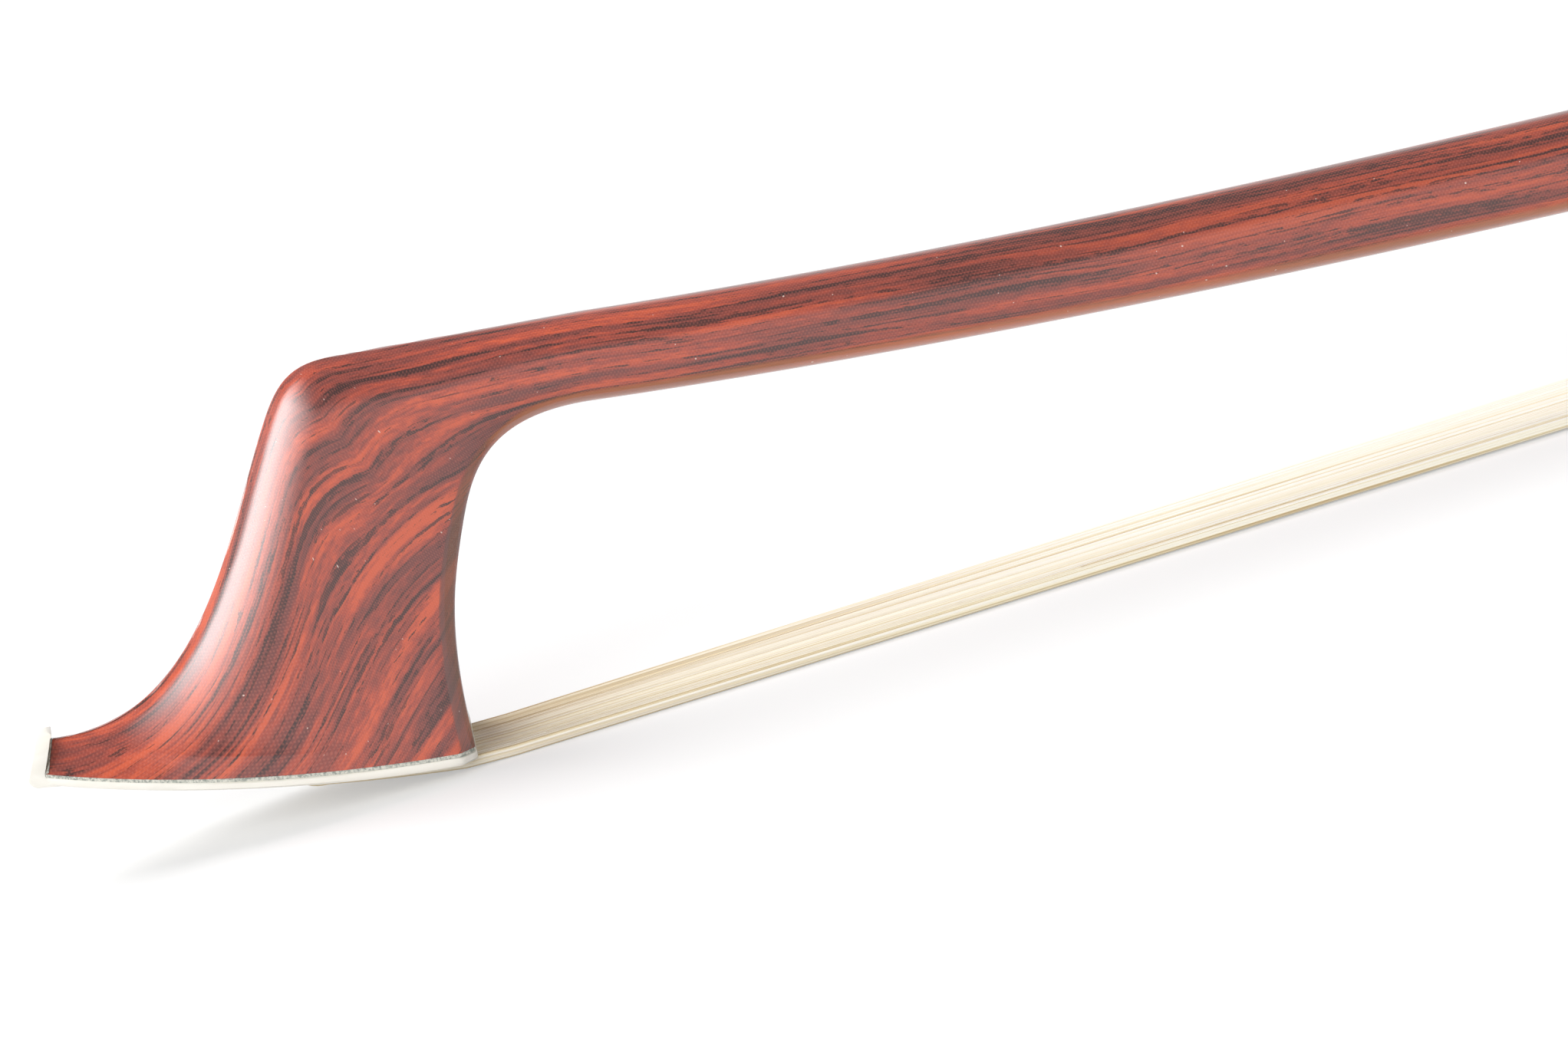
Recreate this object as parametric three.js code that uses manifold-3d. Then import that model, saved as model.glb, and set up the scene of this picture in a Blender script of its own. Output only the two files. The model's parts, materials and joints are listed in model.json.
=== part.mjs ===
// A full-size cello bow, as an assembly of its separate pieces.
//
// Lengths are in millimetres. +X runs from the head to the button and +Z from the hair to the
// stick. The bow lies as it does on a table, hair down and slack, so it rests on the hair under
// the head and on the lower front edge of the ferrule.
//
// Two frames are used. The bow's frame has x = 0 at the rear edge of the tip plate and z = 0 on
// the table. The handle's frame is tilted up by handleTilt, with x = 0 at the front of the
// ferrule and z = 0 on the ferrule's flat, and the frog slides along its X.

import * as THREE from 'three';
import { mergeVertices } from 'three/addons/utils/BufferGeometryUtils.js';
import Module from 'manifold-3d';

const wasm = await Module();
wasm.setup();

// Whole bow
const hairLength = 610;
const handleTilt = THREE.MathUtils.degToRad(4);

// Clearances: between glued pieces, between pieces that slide or fit, and round what turns
const glueGap = 0.05;
const fitGap = 0.15;
const runGap = 0.3;
const cutOverrun = 2;

// Stick
const neckX = 14;
const neckRadius = 2.87;
const neckDrop = THREE.MathUtils.degToRad(9.1);
const camberLowX = 205;
const camberLowGap = 6.2;
const handleFlats = 10;
const handleStraight = 170;
const octagonLength = 76;
const octagonRunout = 12;
const spigotDiameter = 5.8;
const spigotLength = 2;
const taperPower = 1.28;
const roundToFlatsShare = 0.98;
const camberShares = { neck: 0.324, beforeLow: 0.17, afterLow: 0.36, handle: 0.42 };

// Head
const headReach = 26.6;
const headHeight = 27.75;
const noseRise = 6;
const plateSag = 0.68;
const woodEndHeight = 1.6;
const woodEndLean = 0.8;
const plateRearWidth = 11.2;
const plateNoseWidth = 4.1;
const backBevel = 1;
const throatTurn = 3.6;
const throatRun = 5.7;
const linerThickness = 0.25;
const plateThickness = 0.55;
const noseThickness = 1.15;
const noseStand = 0.7;
const noseCrown = 1.5;
const headMortise = { length: 9, width: 6.4, depth: 6.2, fromRear: 3.5 };

// Hair
const hairThickness = 0.75;
const hairWidthAtHead = 8.1;
const hairWidthAtFerrule = 12.2;
const hairWidthInFrog = 9.2;
const hairRidges = 11;
const hairRidgeDepth = 0.14;
const hairBend = 2.3;
const knotDiameter = 2.4;
const plugHeight = 3.4;

// Frog
const frogLength = 52;
const frogWidth = 14.9;
const frogTopWidth = 12.3;
const axisHeight = 28.3;
const cheekDrop = 2.5;
const ferruleLength = 11.5;
const ferruleHeight = 9.6;
const ferruleSideHeight = 3.2;
const ferruleWall = 0.7;
const ferruleCorner = 0.6;
const throatDepth = 4.6;
const throatHeight = 4.2;
const throatEdge = 2.2;
const lipForward = 4.8;
const lipHeight = 1.5;
const heelRadius = 9;
const heelCorner = 0.7;
const heelPlateThickness = 0.8;
const heelPlateReach = 3;
const backPlateTopGap = 0.5;
const underslideThickness = 0.4;
const tongueSetback = 0.6;
const wedgeThickness = 1.3;
const wedgeLength = 5.2;
const slideWidth = 9.2;
const slideFlare = 0.4;
const slidePearlThickness = 0.85;
const slideBackingThickness = 1.05;
const frogMortise = { length: 10.5, width: 10, height: 7.4, fromFerrule: 6.5 };
const eyeX = 31;
const eyeHeight = 12.6;
const eyeDiameter = 7.4;
const eyeRingGap = 0.7;
const eyeRingWidth = 1.1;
const eyeDepth = 0.9;

// Screw, eyelet and button
const tailGap = 5.5;
const screwDiameter = 3.1;
const screwReach = 72;
const boreDiameter = 3.7;
const eyeletX = 31;
const eyeletLength = 5;
const eyeletWidth = 3.9;
const eyeletHeight = 5.8;
const shankDiameter = 3.6;
const shankLength = 9.5;
const slotForward = 2.6;
const slotRearward = 5.4;
const slotRoof = 0.35;
const buttonFlats = 9.8;
const frontCollarLength = 3.6;
const coreLength = 7.2;
const coreWaist = 0.4;
const tenonDiameter = 7.5;
const capLength = 4.6;
const capWall = 1.8;
const capRounding = 1.1;
const buttonPearlDiameter = 5.2;
const buttonPearlDepth = 0.9;
const buttonPearlDome = 0.35;

// Grip and lapping
const gripRoom = 2.5;
const gripPastFlats = 1.3;
const gripThickness = 1.25;
const gripEdge = 1.6;
const gripEdgeThickness = 0.5;
const lappingLoops = 24;
const lappingPitch = 3;
const lappingGap = 0.5;
const lappingThickness = 0.5;
const lappingCrown = 0.15;

// Facets
const halfRing = 16;
const lappingSteps = 24;
const roundSides = 32;

const finish = (color, roughness, metalness = 0) => ({ color, roughness, metalness });
const finishes = {
  stick: finish('#8a3a26', 0.25),
  liner: finish('#3c3f3a', 0.6),
  plate: finish('#f2efe6', 0.35),
  hair: finish('#e9dfc4', 0.55),
  thread: finish('#cfc6ae', 0.8),
  plug: finish('#c9a878', 0.7),
  leather: finish('#2a2320', 0.7),
  lapping: finish('#d8d3c6', 0.35),
  ebony: finish('#1b1715', 0.35),
  silver: finish('#c9c9c6', 0.3, 1),
  pearl: finish('#e6e3dc', 0.2),
  brass: finish('#b8923f', 0.35, 1),
  steel: finish('#9a9c9e', 0.3, 1),
};

/** A closed geometry with equal corners merged, as a solid. */
function solidOf(geometry) {
  const bare = geometry.clone();
  bare.deleteAttribute('normal');
  bare.deleteAttribute('uv');
  const closed = mergeVertices(bare, 1e-5);
  return new wasm.Manifold(
    new wasm.Mesh({
      numProp: 3,
      vertProperties: new Float32Array(closed.attributes.position.array),
      triVerts: new Uint32Array(closed.index.array),
    }),
  );
}

/** A solid as a geometry. */
function geometryOf(solid) {
  const { vertProperties, triVerts } = solid.getMesh();
  const geometry = new THREE.BufferGeometry();
  geometry.setAttribute('position', new THREE.BufferAttribute(vertProperties, 3));
  geometry.setIndex(new THREE.BufferAttribute(triVerts, 1));
  return geometry;
}

/** A geometry with the others cut away. */
function cut(geometry, ...tools) {
  return geometryOf(tools.reduce((rest, tool) => rest.subtract(solidOf(tool)), solidOf(geometry)));
}

/** The space that all the geometries share. */
function common(geometry, ...others) {
  return geometryOf(others.reduce((rest, one) => rest.intersect(solidOf(one)), solidOf(geometry)));
}

/** Overlapping geometries as one. */
function joined(geometry, ...others) {
  return geometryOf(others.reduce((rest, one) => rest.add(solidOf(one)), solidOf(geometry)));
}

/** A box from its least to its greatest corner. */
function box([x0, y0, z0], [x1, y1, z1]) {
  const geometry = new THREE.BoxGeometry(x1 - x0, y1 - y0, z1 - z0);
  return geometry.translate((x0 + x1) / 2, (y0 + y1) / 2, (z0 + z1) / 2);
}

/** A round rod along X, with its axis at height z. */
function rodAlongX(x0, x1, z, diameter) {
  const radius = diameter / 2;
  const geometry = new THREE.CylinderGeometry(radius, radius, x1 - x0, roundSides);
  return geometry.rotateZ(-Math.PI / 2).translate((x0 + x1) / 2, 0, z);
}

/** A round rod along Y, with its axis through x and z. */
function rodAlongY(x, z, y0, y1, diameter) {
  const radius = diameter / 2;
  const geometry = new THREE.CylinderGeometry(radius, radius, y1 - y0, roundSides);
  return geometry.translate(x, (y0 + y1) / 2, z);
}

/** A round rod along Z, with its axis through x. */
function rodAlongZ(x, z0, z1, diameter) {
  const radius = diameter / 2;
  const geometry = new THREE.CylinderGeometry(radius, radius, z1 - z0, roundSides);
  return geometry.rotateX(Math.PI / 2).translate(x, 0, (z0 + z1) / 2);
}

/** An outline in Y and Z, carried along X. */
function alongX(shape, x0, x1) {
  const settings = { depth: x1 - x0, bevelEnabled: false, curveSegments: roundSides / 2 };
  const geometry = new THREE.ExtrudeGeometry(shape, settings);
  return geometry.rotateX(Math.PI / 2).rotateZ(Math.PI / 2).translate(x0, 0, 0);
}

/** An outline in X and Z, carried across the bow over the given width. */
function across(shape, width) {
  const settings = { depth: width, bevelEnabled: false, curveSegments: roundSides / 2 };
  const geometry = new THREE.ExtrudeGeometry(shape, settings);
  return geometry.rotateX(Math.PI / 2).translate(0, width / 2, 0);
}

/** A closed outline through pairs of coordinates. */
const outlineOf = (pairs) => new THREE.Shape(pairs.map(([a, b]) => new THREE.Vector2(a, b)));

/** A profile of [distance along, radius] turned round the X axis at height z. */
function turnedAlongX(profile, z, sides, turn = 0) {
  const points = profile.map(([x, radius]) => new THREE.Vector2(radius, x));
  const geometry = new THREE.LatheGeometry(points, sides, turn);
  return geometry.rotateZ(-Math.PI / 2).translate(0, 0, z);
}

/** The faces between rings that run the same way round, ring by ring. */
function ringFaces(ringCount, pointCount, closed) {
  const faces = [];
  const bands = closed ? ringCount : ringCount - 1;
  for (let k = 0; k < bands; k += 1) {
    const here = k * pointCount;
    const next = ((k + 1) % ringCount) * pointCount;
    for (let i = 0; i < pointCount; i += 1) {
      const j = (i + 1) % pointCount;
      faces.push(here + i, here + j, next + i);
      faces.push(here + j, next + j, next + i);
    }
  }
  return faces;
}

/** An end face, in strips between a ring's right half and its mirrored left half. */
function endFaces(first, pointCount, facesForward) {
  const faces = [];
  const add = (a, b, c) => (facesForward ? faces.push(a, b, c) : faces.push(a, c, b));
  const half = pointCount / 2;
  for (let i = 0; i < half; i += 1) {
    const right = first + i;
    const left = first + ((pointCount - i) % pointCount);
    const nextLeft = first + pointCount - i - 1;
    if (i > 0) add(right, nextLeft, left);
    if (i + 1 < half) add(right, right + 1, nextLeft);
  }
  return faces;
}

function geometryFrom(rings, faces) {
  const geometry = new THREE.BufferGeometry();
  const positions = rings.flat().flatMap((point) => [point.x, point.y, point.z]);
  geometry.setAttribute('position', new THREE.Float32BufferAttribute(positions, 3));
  geometry.setIndex(faces);
  return geometry;
}

/** A solid through rings, closed at both ends. */
function loft(rings) {
  const count = rings[0].length;
  const last = (rings.length - 1) * count;
  return geometryFrom(rings, [
    ...ringFaces(rings.length, count, false),
    ...endFaces(0, count, false),
    ...endFaces(last, count, true),
  ]);
}

/** A tube's wall through rings that go out along its outside and come back along its inside. */
function tubeWall(rings) {
  return geometryFrom(rings, ringFaces(rings.length, rings[0].length, true));
}

/** A whole ring from its right half, which runs from the bottom or rear to the top or front. */
function mirrored(rightHalf) {
  const left = rightHalf.slice(1, -1).reverse();
  return [...rightHalf, ...left.map(({ x, y, z }) => new THREE.Vector3(x, -y, z))];
}

const mix = THREE.MathUtils.lerp;
const ease = THREE.MathUtils.smoothstep;

const handle = new THREE.Group();
handle.position.x = hairLength;
handle.rotation.y = -handleTilt;
handle.updateMatrix();

/** A point of the handle's frame, in the bow's frame. */
const fromHandle = (x, y, z) => new THREE.Vector3(x, y, z).applyMatrix4(handle.matrix);

const sideView = ({ x, z }) => new THREE.Vector2(x, z);
const buttX = frogLength + tailGap;
const lipX = ferruleLength - lipForward;

// Head: its side view is the space between a front line (ridge, crown and top of the neck) and
// a back line (rear face and throat), given as shares of its reach and height.

const headShare = ([xShare, zShare]) =>
  new THREE.Vector2(-xShare * headReach, zShare * headHeight);
const ridgeShares = [[0.601, 0.257], [0.421, 0.657], [0.248, 0.896]];
const crownShares = [[0.192, 0.974], [0.147, 1.009], [0.038, 0.992]];
const backShares = [[-0.014, 0.245], [-0.034, 0.382], [-0.147, 0.568]];
const neckHeightShare = 0.818;

const neck = new THREE.Vector2(neckX, neckHeightShare * headHeight);
const neckAlong = new THREE.Vector2(Math.cos(neckDrop), -Math.sin(neckDrop));
const neckUp = new THREE.Vector2(Math.sin(neckDrop), Math.cos(neckDrop));
const neckTop = neck.clone().addScaledVector(neckUp, neckRadius);
const neckUnder = neck.clone().addScaledVector(neckUp, -neckRadius);

const plateRearHeight = hairThickness + glueGap;
const linerRearHeight = plateRearHeight + plateThickness;
const woodRearHeight = linerRearHeight + linerThickness;

/** The plate's curve at a share of its length from the rear, raised to rearHeight. */
const plateCurve = (share, rearHeight) => new THREE.Vector2(
  -share * headReach,
  rearHeight + noseRise * share - 4 * plateSag * share * (1 - share),
);

const woodRear = plateCurve(0, woodRearHeight);
const woodFront = plateCurve(1, woodRearHeight);
const beakTop = woodFront.clone().add(new THREE.Vector2(woodEndLean, woodEndHeight));
const [ridgeA, ridgeB, ridgeEnd] = ridgeShares.map(headShare);
const [crownA, crownB, crownEnd] = crownShares.map(headShare);
const [backA, backB, backEnd] = backShares.map(headShare);
const throatA = backEnd.clone().add(backEnd.clone().sub(backB).setLength(throatTurn));
const throatB = neckUnder.clone().addScaledVector(neckAlong, -throatRun);

const frontLine = new THREE.CurvePath();
frontLine.add(new THREE.CubicBezierCurve(beakTop, ridgeA, ridgeB, ridgeEnd));
frontLine.add(new THREE.CubicBezierCurve(ridgeEnd, crownA, crownB, crownEnd));
frontLine.add(new THREE.LineCurve(crownEnd, neckTop));
const backLine = new THREE.CurvePath();
backLine.add(new THREE.CubicBezierCurve(woodRear, backA, backB, backEnd));
backLine.add(new THREE.CubicBezierCurve(backEnd, throatA, throatB, neckUnder));

const frontSamples = frontLine.getSpacedPoints(240);
const toFrontLine = (point) => Math.min(...frontSamples.map((one) => one.distanceTo(point)));

// The head's section has a bevelled back, flat cheeks that flare to the plate, and a front that
// falls away to the ridge. Towards the neck it turns round.

const plateWidthPowers = { along: 2.2, across: 0.9 };
const frontDepthShare = 1.3;
const ridgeSharpness = 0.8;
const flareEndShare = 0.68;
const flarePower = 1.6;
const roundFromShare = 0.42;
const sagEndShare = 0.3;
const backLineStartShare = 0.03;
const backFlatPoint = 2;
const frontPoint = 11;

/** Half the plate's width at a share of its length from the rear. */
function plateHalfWidth(share) {
  const narrowing = (1 - share ** plateWidthPowers.along) ** plateWidthPowers.across;
  return mix(plateNoseWidth, plateRearWidth, narrowing) / 2;
}

/** How far a section's point lies from the back line, out of the section's whole length. */
function fromBackLine(i, chord, frontDepth) {
  if (i <= backFlatPoint) return 0;
  if (i <= frontPoint) {
    const share = (i - backFlatPoint - 1) / (frontPoint - backFlatPoint - 1);
    return mix(backBevel, chord - frontDepth, share);
  }
  return chord - frontDepth * (1 - (i - frontPoint) / (halfRing - frontPoint)) ** 1.5;
}

/** The head's ring at a share of the way from the beak to the neck. */
function headRing(share) {
  const front = frontLine.getPoint(share);
  const back = backLine.getPoint(mix(backLineStartShare, 1, share));
  const chord = front.distanceTo(back);
  const flare = Math.max(0, 1 - share / flareEndShare) ** flarePower;
  const roundness = ease(share, roundFromShare, 1);
  const sag = 4 * plateSag * Math.max(0, 1 - share / sagEndShare);
  const widthAt = (part) => mix(neckRadius, plateHalfWidth(part), flare);
  const rightHalf = Array.from({ length: halfRing + 1 }, (_, i) => {
    const turn = (Math.PI * i) / halfRing;
    const frontDepth = Math.min(frontDepthShare * widthAt(1 / 2), chord / 2);
    const headDistance = fromBackLine(i, chord, frontDepth);
    const roundDistance = (chord * (1 - Math.cos(turn))) / 2;
    const part = mix(headDistance, roundDistance, roundness) / chord;
    const point = back.clone().lerp(front, part);
    point.y -= sag * part * (1 - part);
    const width = widthAt(part);
    const depth = Math.min(toFrontLine(point) / (frontDepthShare * width), 1);
    const falloff = (1 - (1 - depth) ** 2) ** ridgeSharpness;
    const backShare = i < backFlatPoint ? i / backFlatPoint : 1;
    const cheek = i <= backFlatPoint ? (width - backBevel) * backShare : width * falloff;
    const y = i === halfRing ? 0 : mix(cheek, neckRadius * Math.sin(turn), roundness);
    return new THREE.Vector3(point.x, y, point.y);
  });
  return mirrored(rightHalf);
}

/** The shares of the plate's length at which its stations stand, from the rear to the front. */
const plateShares = Array.from({ length: halfRing }, (_, i) => {
  const frontDepth = frontDepthShare * plateHalfWidth(1 / 2);
  return i === halfRing - 1 ? 1 : fromBackLine(i, headReach, frontDepth) / headReach;
});

/** The right half of a ring on the plate's curve, out to its edge and in to its front centre. */
function plateEdge(rearHeight) {
  const edge = plateShares.map((share, i) => {
    const { x, y: z } = plateCurve(share, rearHeight);
    const bevelled = i <= backFlatPoint;
    const width = plateHalfWidth(share) - (bevelled ? backBevel : 0);
    return new THREE.Vector3(x, i < backFlatPoint ? (width * i) / backFlatPoint : width, z);
  });
  const front = plateCurve(1, rearHeight);
  return [...edge, new THREE.Vector3(front.x, 0, front.y)];
}

// Stick: the head's rings, then rings square to the cambered axis, then the straight handle,
// which turns from round to eight flats and ends in a spigot for the button.

const handleFrontX = buttX - handleStraight;
const roundEndX = buttX - octagonLength - octagonRunout;
const handleRadius = (roundToFlatsShare * handleFlats) / 2;
const handleFront = sideView(fromHandle(handleFrontX, 0, axisHeight));
const roundEnd = sideView(fromHandle(roundEndX, 0, axisHeight));
const handleAlong = new THREE.Vector2(Math.cos(handleTilt), Math.sin(handleTilt));

/** The round stick's radius at x in the bow's frame. */
function stickRadius(x) {
  const share = THREE.MathUtils.clamp((x - neckX) / (roundEnd.x - neckX), 0, 1);
  return mix(neckRadius, handleRadius, 1 - (1 - share) ** taperPower);
}

const camberLow = new THREE.Vector2(
  camberLowX,
  hairThickness + camberLowGap + stickRadius(camberLowX),
);
const frontSpan = camberLow.x - neck.x;
const rearSpan = handleFront.x - camberLow.x;
const camberCurves = [
  new THREE.CubicBezierCurve(
    neck,
    neck.clone().addScaledVector(neckAlong, camberShares.neck * frontSpan),
    camberLow.clone().setX(camberLow.x - camberShares.beforeLow * frontSpan),
    camberLow,
  ),
  new THREE.CubicBezierCurve(
    camberLow,
    camberLow.clone().setX(camberLow.x + camberShares.afterLow * rearSpan),
    handleFront.clone().addScaledVector(handleAlong, -camberShares.handle * rearSpan),
    handleFront,
  ),
];
const camberSteps = [7, 9];

/** The distance from an octagon's centre to its edge, with a flat at each eighth of a turn. */
function octagonReach(flats, turn) {
  const eighth = Math.PI / 4;
  return flats / 2 / Math.cos(turn - eighth * Math.round(turn / eighth));
}

/** A ring round the handle's axis, of a radius that may depend on the turn from the bottom. */
function handleRing(x, radiusAt) {
  const rightHalf = Array.from({ length: halfRing + 1 }, (_, i) => {
    const turn = (Math.PI * i) / halfRing;
    const radius = radiusAt(turn);
    const y = i % halfRing === 0 ? 0 : radius * Math.sin(turn);
    return new THREE.Vector3(x, y, axisHeight - radius * Math.cos(turn));
  });
  return mirrored(rightHalf);
}

/** The handle's radius at x in its own frame: round, or eight flats, or between the two. */
function handleSection(x) {
  const flatness = THREE.MathUtils.clamp((x - roundEndX) / octagonRunout, 0, 1);
  const round = stickRadius(fromHandle(x, 0, axisHeight).x);
  return (turn) => mix(round, octagonReach(handleFlats, turn), flatness);
}

const toBow = (ring) => ring.map(({ x, y, z }) => fromHandle(x, y, z));

function camberRing(curve, share) {
  const point = curve.getPoint(share);
  const along = curve.getTangent(share);
  const radius = stickRadius(point.x);
  const rightHalf = Array.from({ length: halfRing + 1 }, (_, i) => {
    const turn = (Math.PI * i) / halfRing;
    const up = -radius * Math.cos(turn);
    const y = i % halfRing === 0 ? 0 : radius * Math.sin(turn);
    return new THREE.Vector3(point.x - along.y * up, y, point.y + along.x * up);
  });
  return mirrored(rightHalf);
}

const headRingShares = [
  0, 0.04, 0.09, 0.15, 0.22, 0.29, 0.36, 0.43, 0.49, 0.54, 0.58, 0.62, 0.66, 0.71, 0.78, 0.86, 0.93,
];
const spigot = () => spigotDiameter / 2;
const stickRings = [
  mirrored(plateEdge(woodRearHeight)),
  ...headRingShares.map(headRing),
  ...camberCurves.flatMap((curve, part) => {
    const steps = camberSteps[part];
    return Array.from({ length: steps }, (_, i) => camberRing(curve, i / steps));
  }),
  ...[handleFrontX, (handleFrontX + roundEndX) / 2, roundEndX, roundEndX + octagonRunout, buttX]
    .map((x) => toBow(handleRing(x, handleSection(x)))),
  toBow(handleRing(buttX, spigot)),
  toBow(handleRing(buttX + spigotLength, spigot)),
];

const mortiseFrontX = -headMortise.fromRear - headMortise.length;
const mortiseRoof = plateCurve(-mortiseFrontX / headReach, woodRearHeight).y + headMortise.depth;
const headMortiseRoom = box(
  [mortiseFrontX, -headMortise.width / 2, -cutOverrun],
  [-headMortise.fromRear, headMortise.width / 2, mortiseRoof],
);
const boreRoom = rodAlongX(
  buttX - screwReach - runGap, buttX + spigotLength + cutOverrun, axisHeight, boreDiameter,
);
const slotRoom = box(
  [eyeletX - eyeletLength / 2 - slotForward, -eyeletWidth / 2 - runGap, axisHeight - handleFlats],
  [
    eyeletX + eyeletLength / 2 + slotRearward,
    eyeletWidth / 2 + runGap,
    axisHeight + eyeletHeight / 2 + slotRoof,
  ],
);

// The liner turns up behind the plate's nose, in place of a thin slab of the wood's front.
const frontLean = woodEndLean / woodEndHeight;
const frontAt = (z) => woodFront.x + frontLean * Math.max(z - woodFront.y, 0);

/** A slab on the wood's front, from ahead of it to behind it, between two heights. */
function frontSlab(ahead, behind, low, high) {
  const levels = [low, woodFront.y, high];
  return across(
    outlineOf([
      ...levels.map((z) => [frontAt(z) + behind, z]),
      ...levels.reverse().map((z) => [frontAt(z) - ahead, z]),
    ]),
    plateNoseWidth,
  );
}

const stickBlank = loft(stickRings);
const frontRoomHeight = beakTop.y + noseStand;
const stick = cut(
  stickBlank,
  frontSlab(linerThickness, linerThickness, woodFront.y - linerThickness, frontRoomHeight),
  headMortiseRoom,
  boreRoom.applyMatrix4(handle.matrix),
  slotRoom.applyMatrix4(handle.matrix),
);

// Tip plate and liner: sheets on the wood's curve. The plate turns up in front of the wood.

/** A sheet between two heights over the plate's curve, by the outline of the wood. */
function sheetOnPlate(lowRearHeight, highRearHeight) {
  return loft([mirrored(plateEdge(lowRearHeight)), mirrored(plateEdge(highRearHeight))]);
}

const linerFrontMiddle = plateCurve(1, (linerRearHeight + woodRearHeight) / 2).y;
const linerTurnedUp = joined(
  common(stickBlank, frontSlab(linerThickness, linerThickness - glueGap, linerFrontMiddle, frontRoomHeight)),
  frontSlab(0, linerThickness - glueGap, linerFrontMiddle, woodFront.y + glueGap),
);
const headLiner = cut(
  joined(sheetOnPlate(linerRearHeight + glueGap, woodRearHeight - glueGap), linerTurnedUp),
  headMortiseRoom,
);

const noseRound = noseThickness / 2;
const noseFootShare = 1 - noseThickness / headReach;
const noseFoot = plateCurve(noseFootShare, plateRearHeight);
const noseSeat = plateCurve(noseFootShare, linerRearHeight);
const noseBase = plateCurve(1, plateRearHeight);
const noseHeel = plateCurve(1, linerRearHeight);
const noseTop = beakTop.y + noseStand;
const noseInnerAt = (z) => frontAt(z) - glueGap;
const noseShoulder = noseTop - noseCrown;
const noseFace = new THREE.Shape()
  .moveTo(-plateNoseWidth / 2, 0)
  .lineTo(plateNoseWidth / 2, 0)
  .lineTo(plateNoseWidth / 2, noseShoulder)
  .absellipse(0, noseShoulder, plateNoseWidth / 2, noseCrown, 0, Math.PI);
const noseSide = across(
  outlineOf([
    [noseFoot.x, noseFoot.y],
    [noseSeat.x, noseSeat.y],
    [noseInnerAt(noseHeel.y), noseHeel.y],
    [noseInnerAt(woodFront.y), woodFront.y],
    [noseInnerAt(noseTop - noseRound / 2), noseTop - noseRound / 2],
    [noseInnerAt(noseTop) - noseRound / 2, noseTop],
    [noseInnerAt(noseTop) - noseThickness + noseRound / 2, noseTop],
    [noseInnerAt(noseTop) - noseThickness, noseTop - noseRound],
    [noseBase.x - noseThickness, noseBase.y + noseRound],
    [noseBase.x - noseRound, noseBase.y],
  ]),
  plateNoseWidth,
);
const nose = common(noseSide, alongX(noseFace, noseBase.x - 2 * noseThickness, 0));
const tipPlate = cut(joined(sheetOnPlate(plateRearHeight, linerRearHeight), nose), headMortiseRoom);

// Hair: a ribbon with ridges like locks of hair, carried along its way from the knot in the
// head, round the plug, back to the ferrule and up into the frog.

const hairUp = hairThickness / 2 + glueGap;
const hairAtHeadX = mortiseFrontX + fitGap + hairUp;
const hairInFrogX = ferruleLength + frogMortise.fromFerrule + frogMortise.length - fitGap - hairUp;
const slideTop = slidePearlThickness + glueGap + slideBackingThickness;
const hairOnFlat = ferruleWall + hairUp;
const hairOnSlide = slideTop + hairUp;
const knotRadius = knotDiameter / 2;
const quarterTurnShares = [0.2, 0.4, 0.6, 0.8, 1];

const underPlate = (x) => plateCurve(-x / headReach, plateRearHeight).y - hairUp;
const headBendX = hairAtHeadX + hairBend;
const headBendZ = underPlate(headBendX);
const headPlugTop = headBendZ + hairUp + glueGap + plugHeight;
const frogPlugTop = hairOnSlide + hairUp + plugHeight;

/** Points round a quarter turn, from along one direction to along the other. */
const quarterTurn = (centre, first, last) => quarterTurnShares.map((share) => {
  const turn = (Math.PI / 2) * share;
  return [
    centre[0] + first[0] * Math.cos(turn) + last[0] * Math.sin(turn),
    centre[1] + first[1] * Math.cos(turn) + last[1] * Math.sin(turn),
  ];
});

const headMortiseHalf = headMortise.width / 2 - runGap;
const hairStations = [];
const station = (x, z, halfWidth) => hairStations.push({ x, z, halfWidth });
station(hairAtHeadX, headPlugTop, headMortiseHalf);
station(hairAtHeadX, headBendZ + hairBend, headMortiseHalf);
quarterTurn([headBendX, headBendZ + hairBend], [-hairBend, 0], [0, -hairBend])
  .forEach(([x, z]) => station(x, z, headMortiseHalf));
[0.66, 0.33, 0.1].forEach((share) => {
  const x = headBendX * share;
  station(x, underPlate(x), mix(hairWidthAtHead / 2, headMortiseHalf, share));
});
station(hairBend, hairThickness / 2, hairWidthAtHead / 2);
const ferruleMouth = fromHandle(0, 0, hairOnFlat);
[0.04, 0.1, 0.2, 0.4, 0.6, 0.8, 1].forEach((share) => {
  const spread = 1 - (1 - share) ** 3;
  station(
    mix(hairBend, ferruleMouth.x, share),
    mix(hairThickness / 2, ferruleMouth.z, share),
    mix(hairWidthAtHead, hairWidthAtFerrule, spread) / 2,
  );
});
const frogBendX = hairInFrogX - hairBend;
const inHandle = (x, z, width) => {
  const point = fromHandle(x, 0, z);
  station(point.x, point.z, width / 2);
};
inHandle(tongueSetback + wedgeLength, hairOnFlat, hairWidthAtFerrule);
inHandle(ferruleLength, hairOnSlide, mix(hairWidthAtFerrule, hairWidthInFrog, 0.4));
inHandle(ferruleLength + frogMortise.fromFerrule, hairOnSlide, hairWidthInFrog);
inHandle(frogBendX, hairOnSlide, hairWidthInFrog);
quarterTurn([frogBendX, hairOnSlide + hairBend], [0, -hairBend], [hairBend, 0])
  .forEach(([x, z]) => inHandle(x, z, hairWidthInFrog));
inHandle(hairInFrogX, frogPlugTop, hairWidthInFrog);

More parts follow.
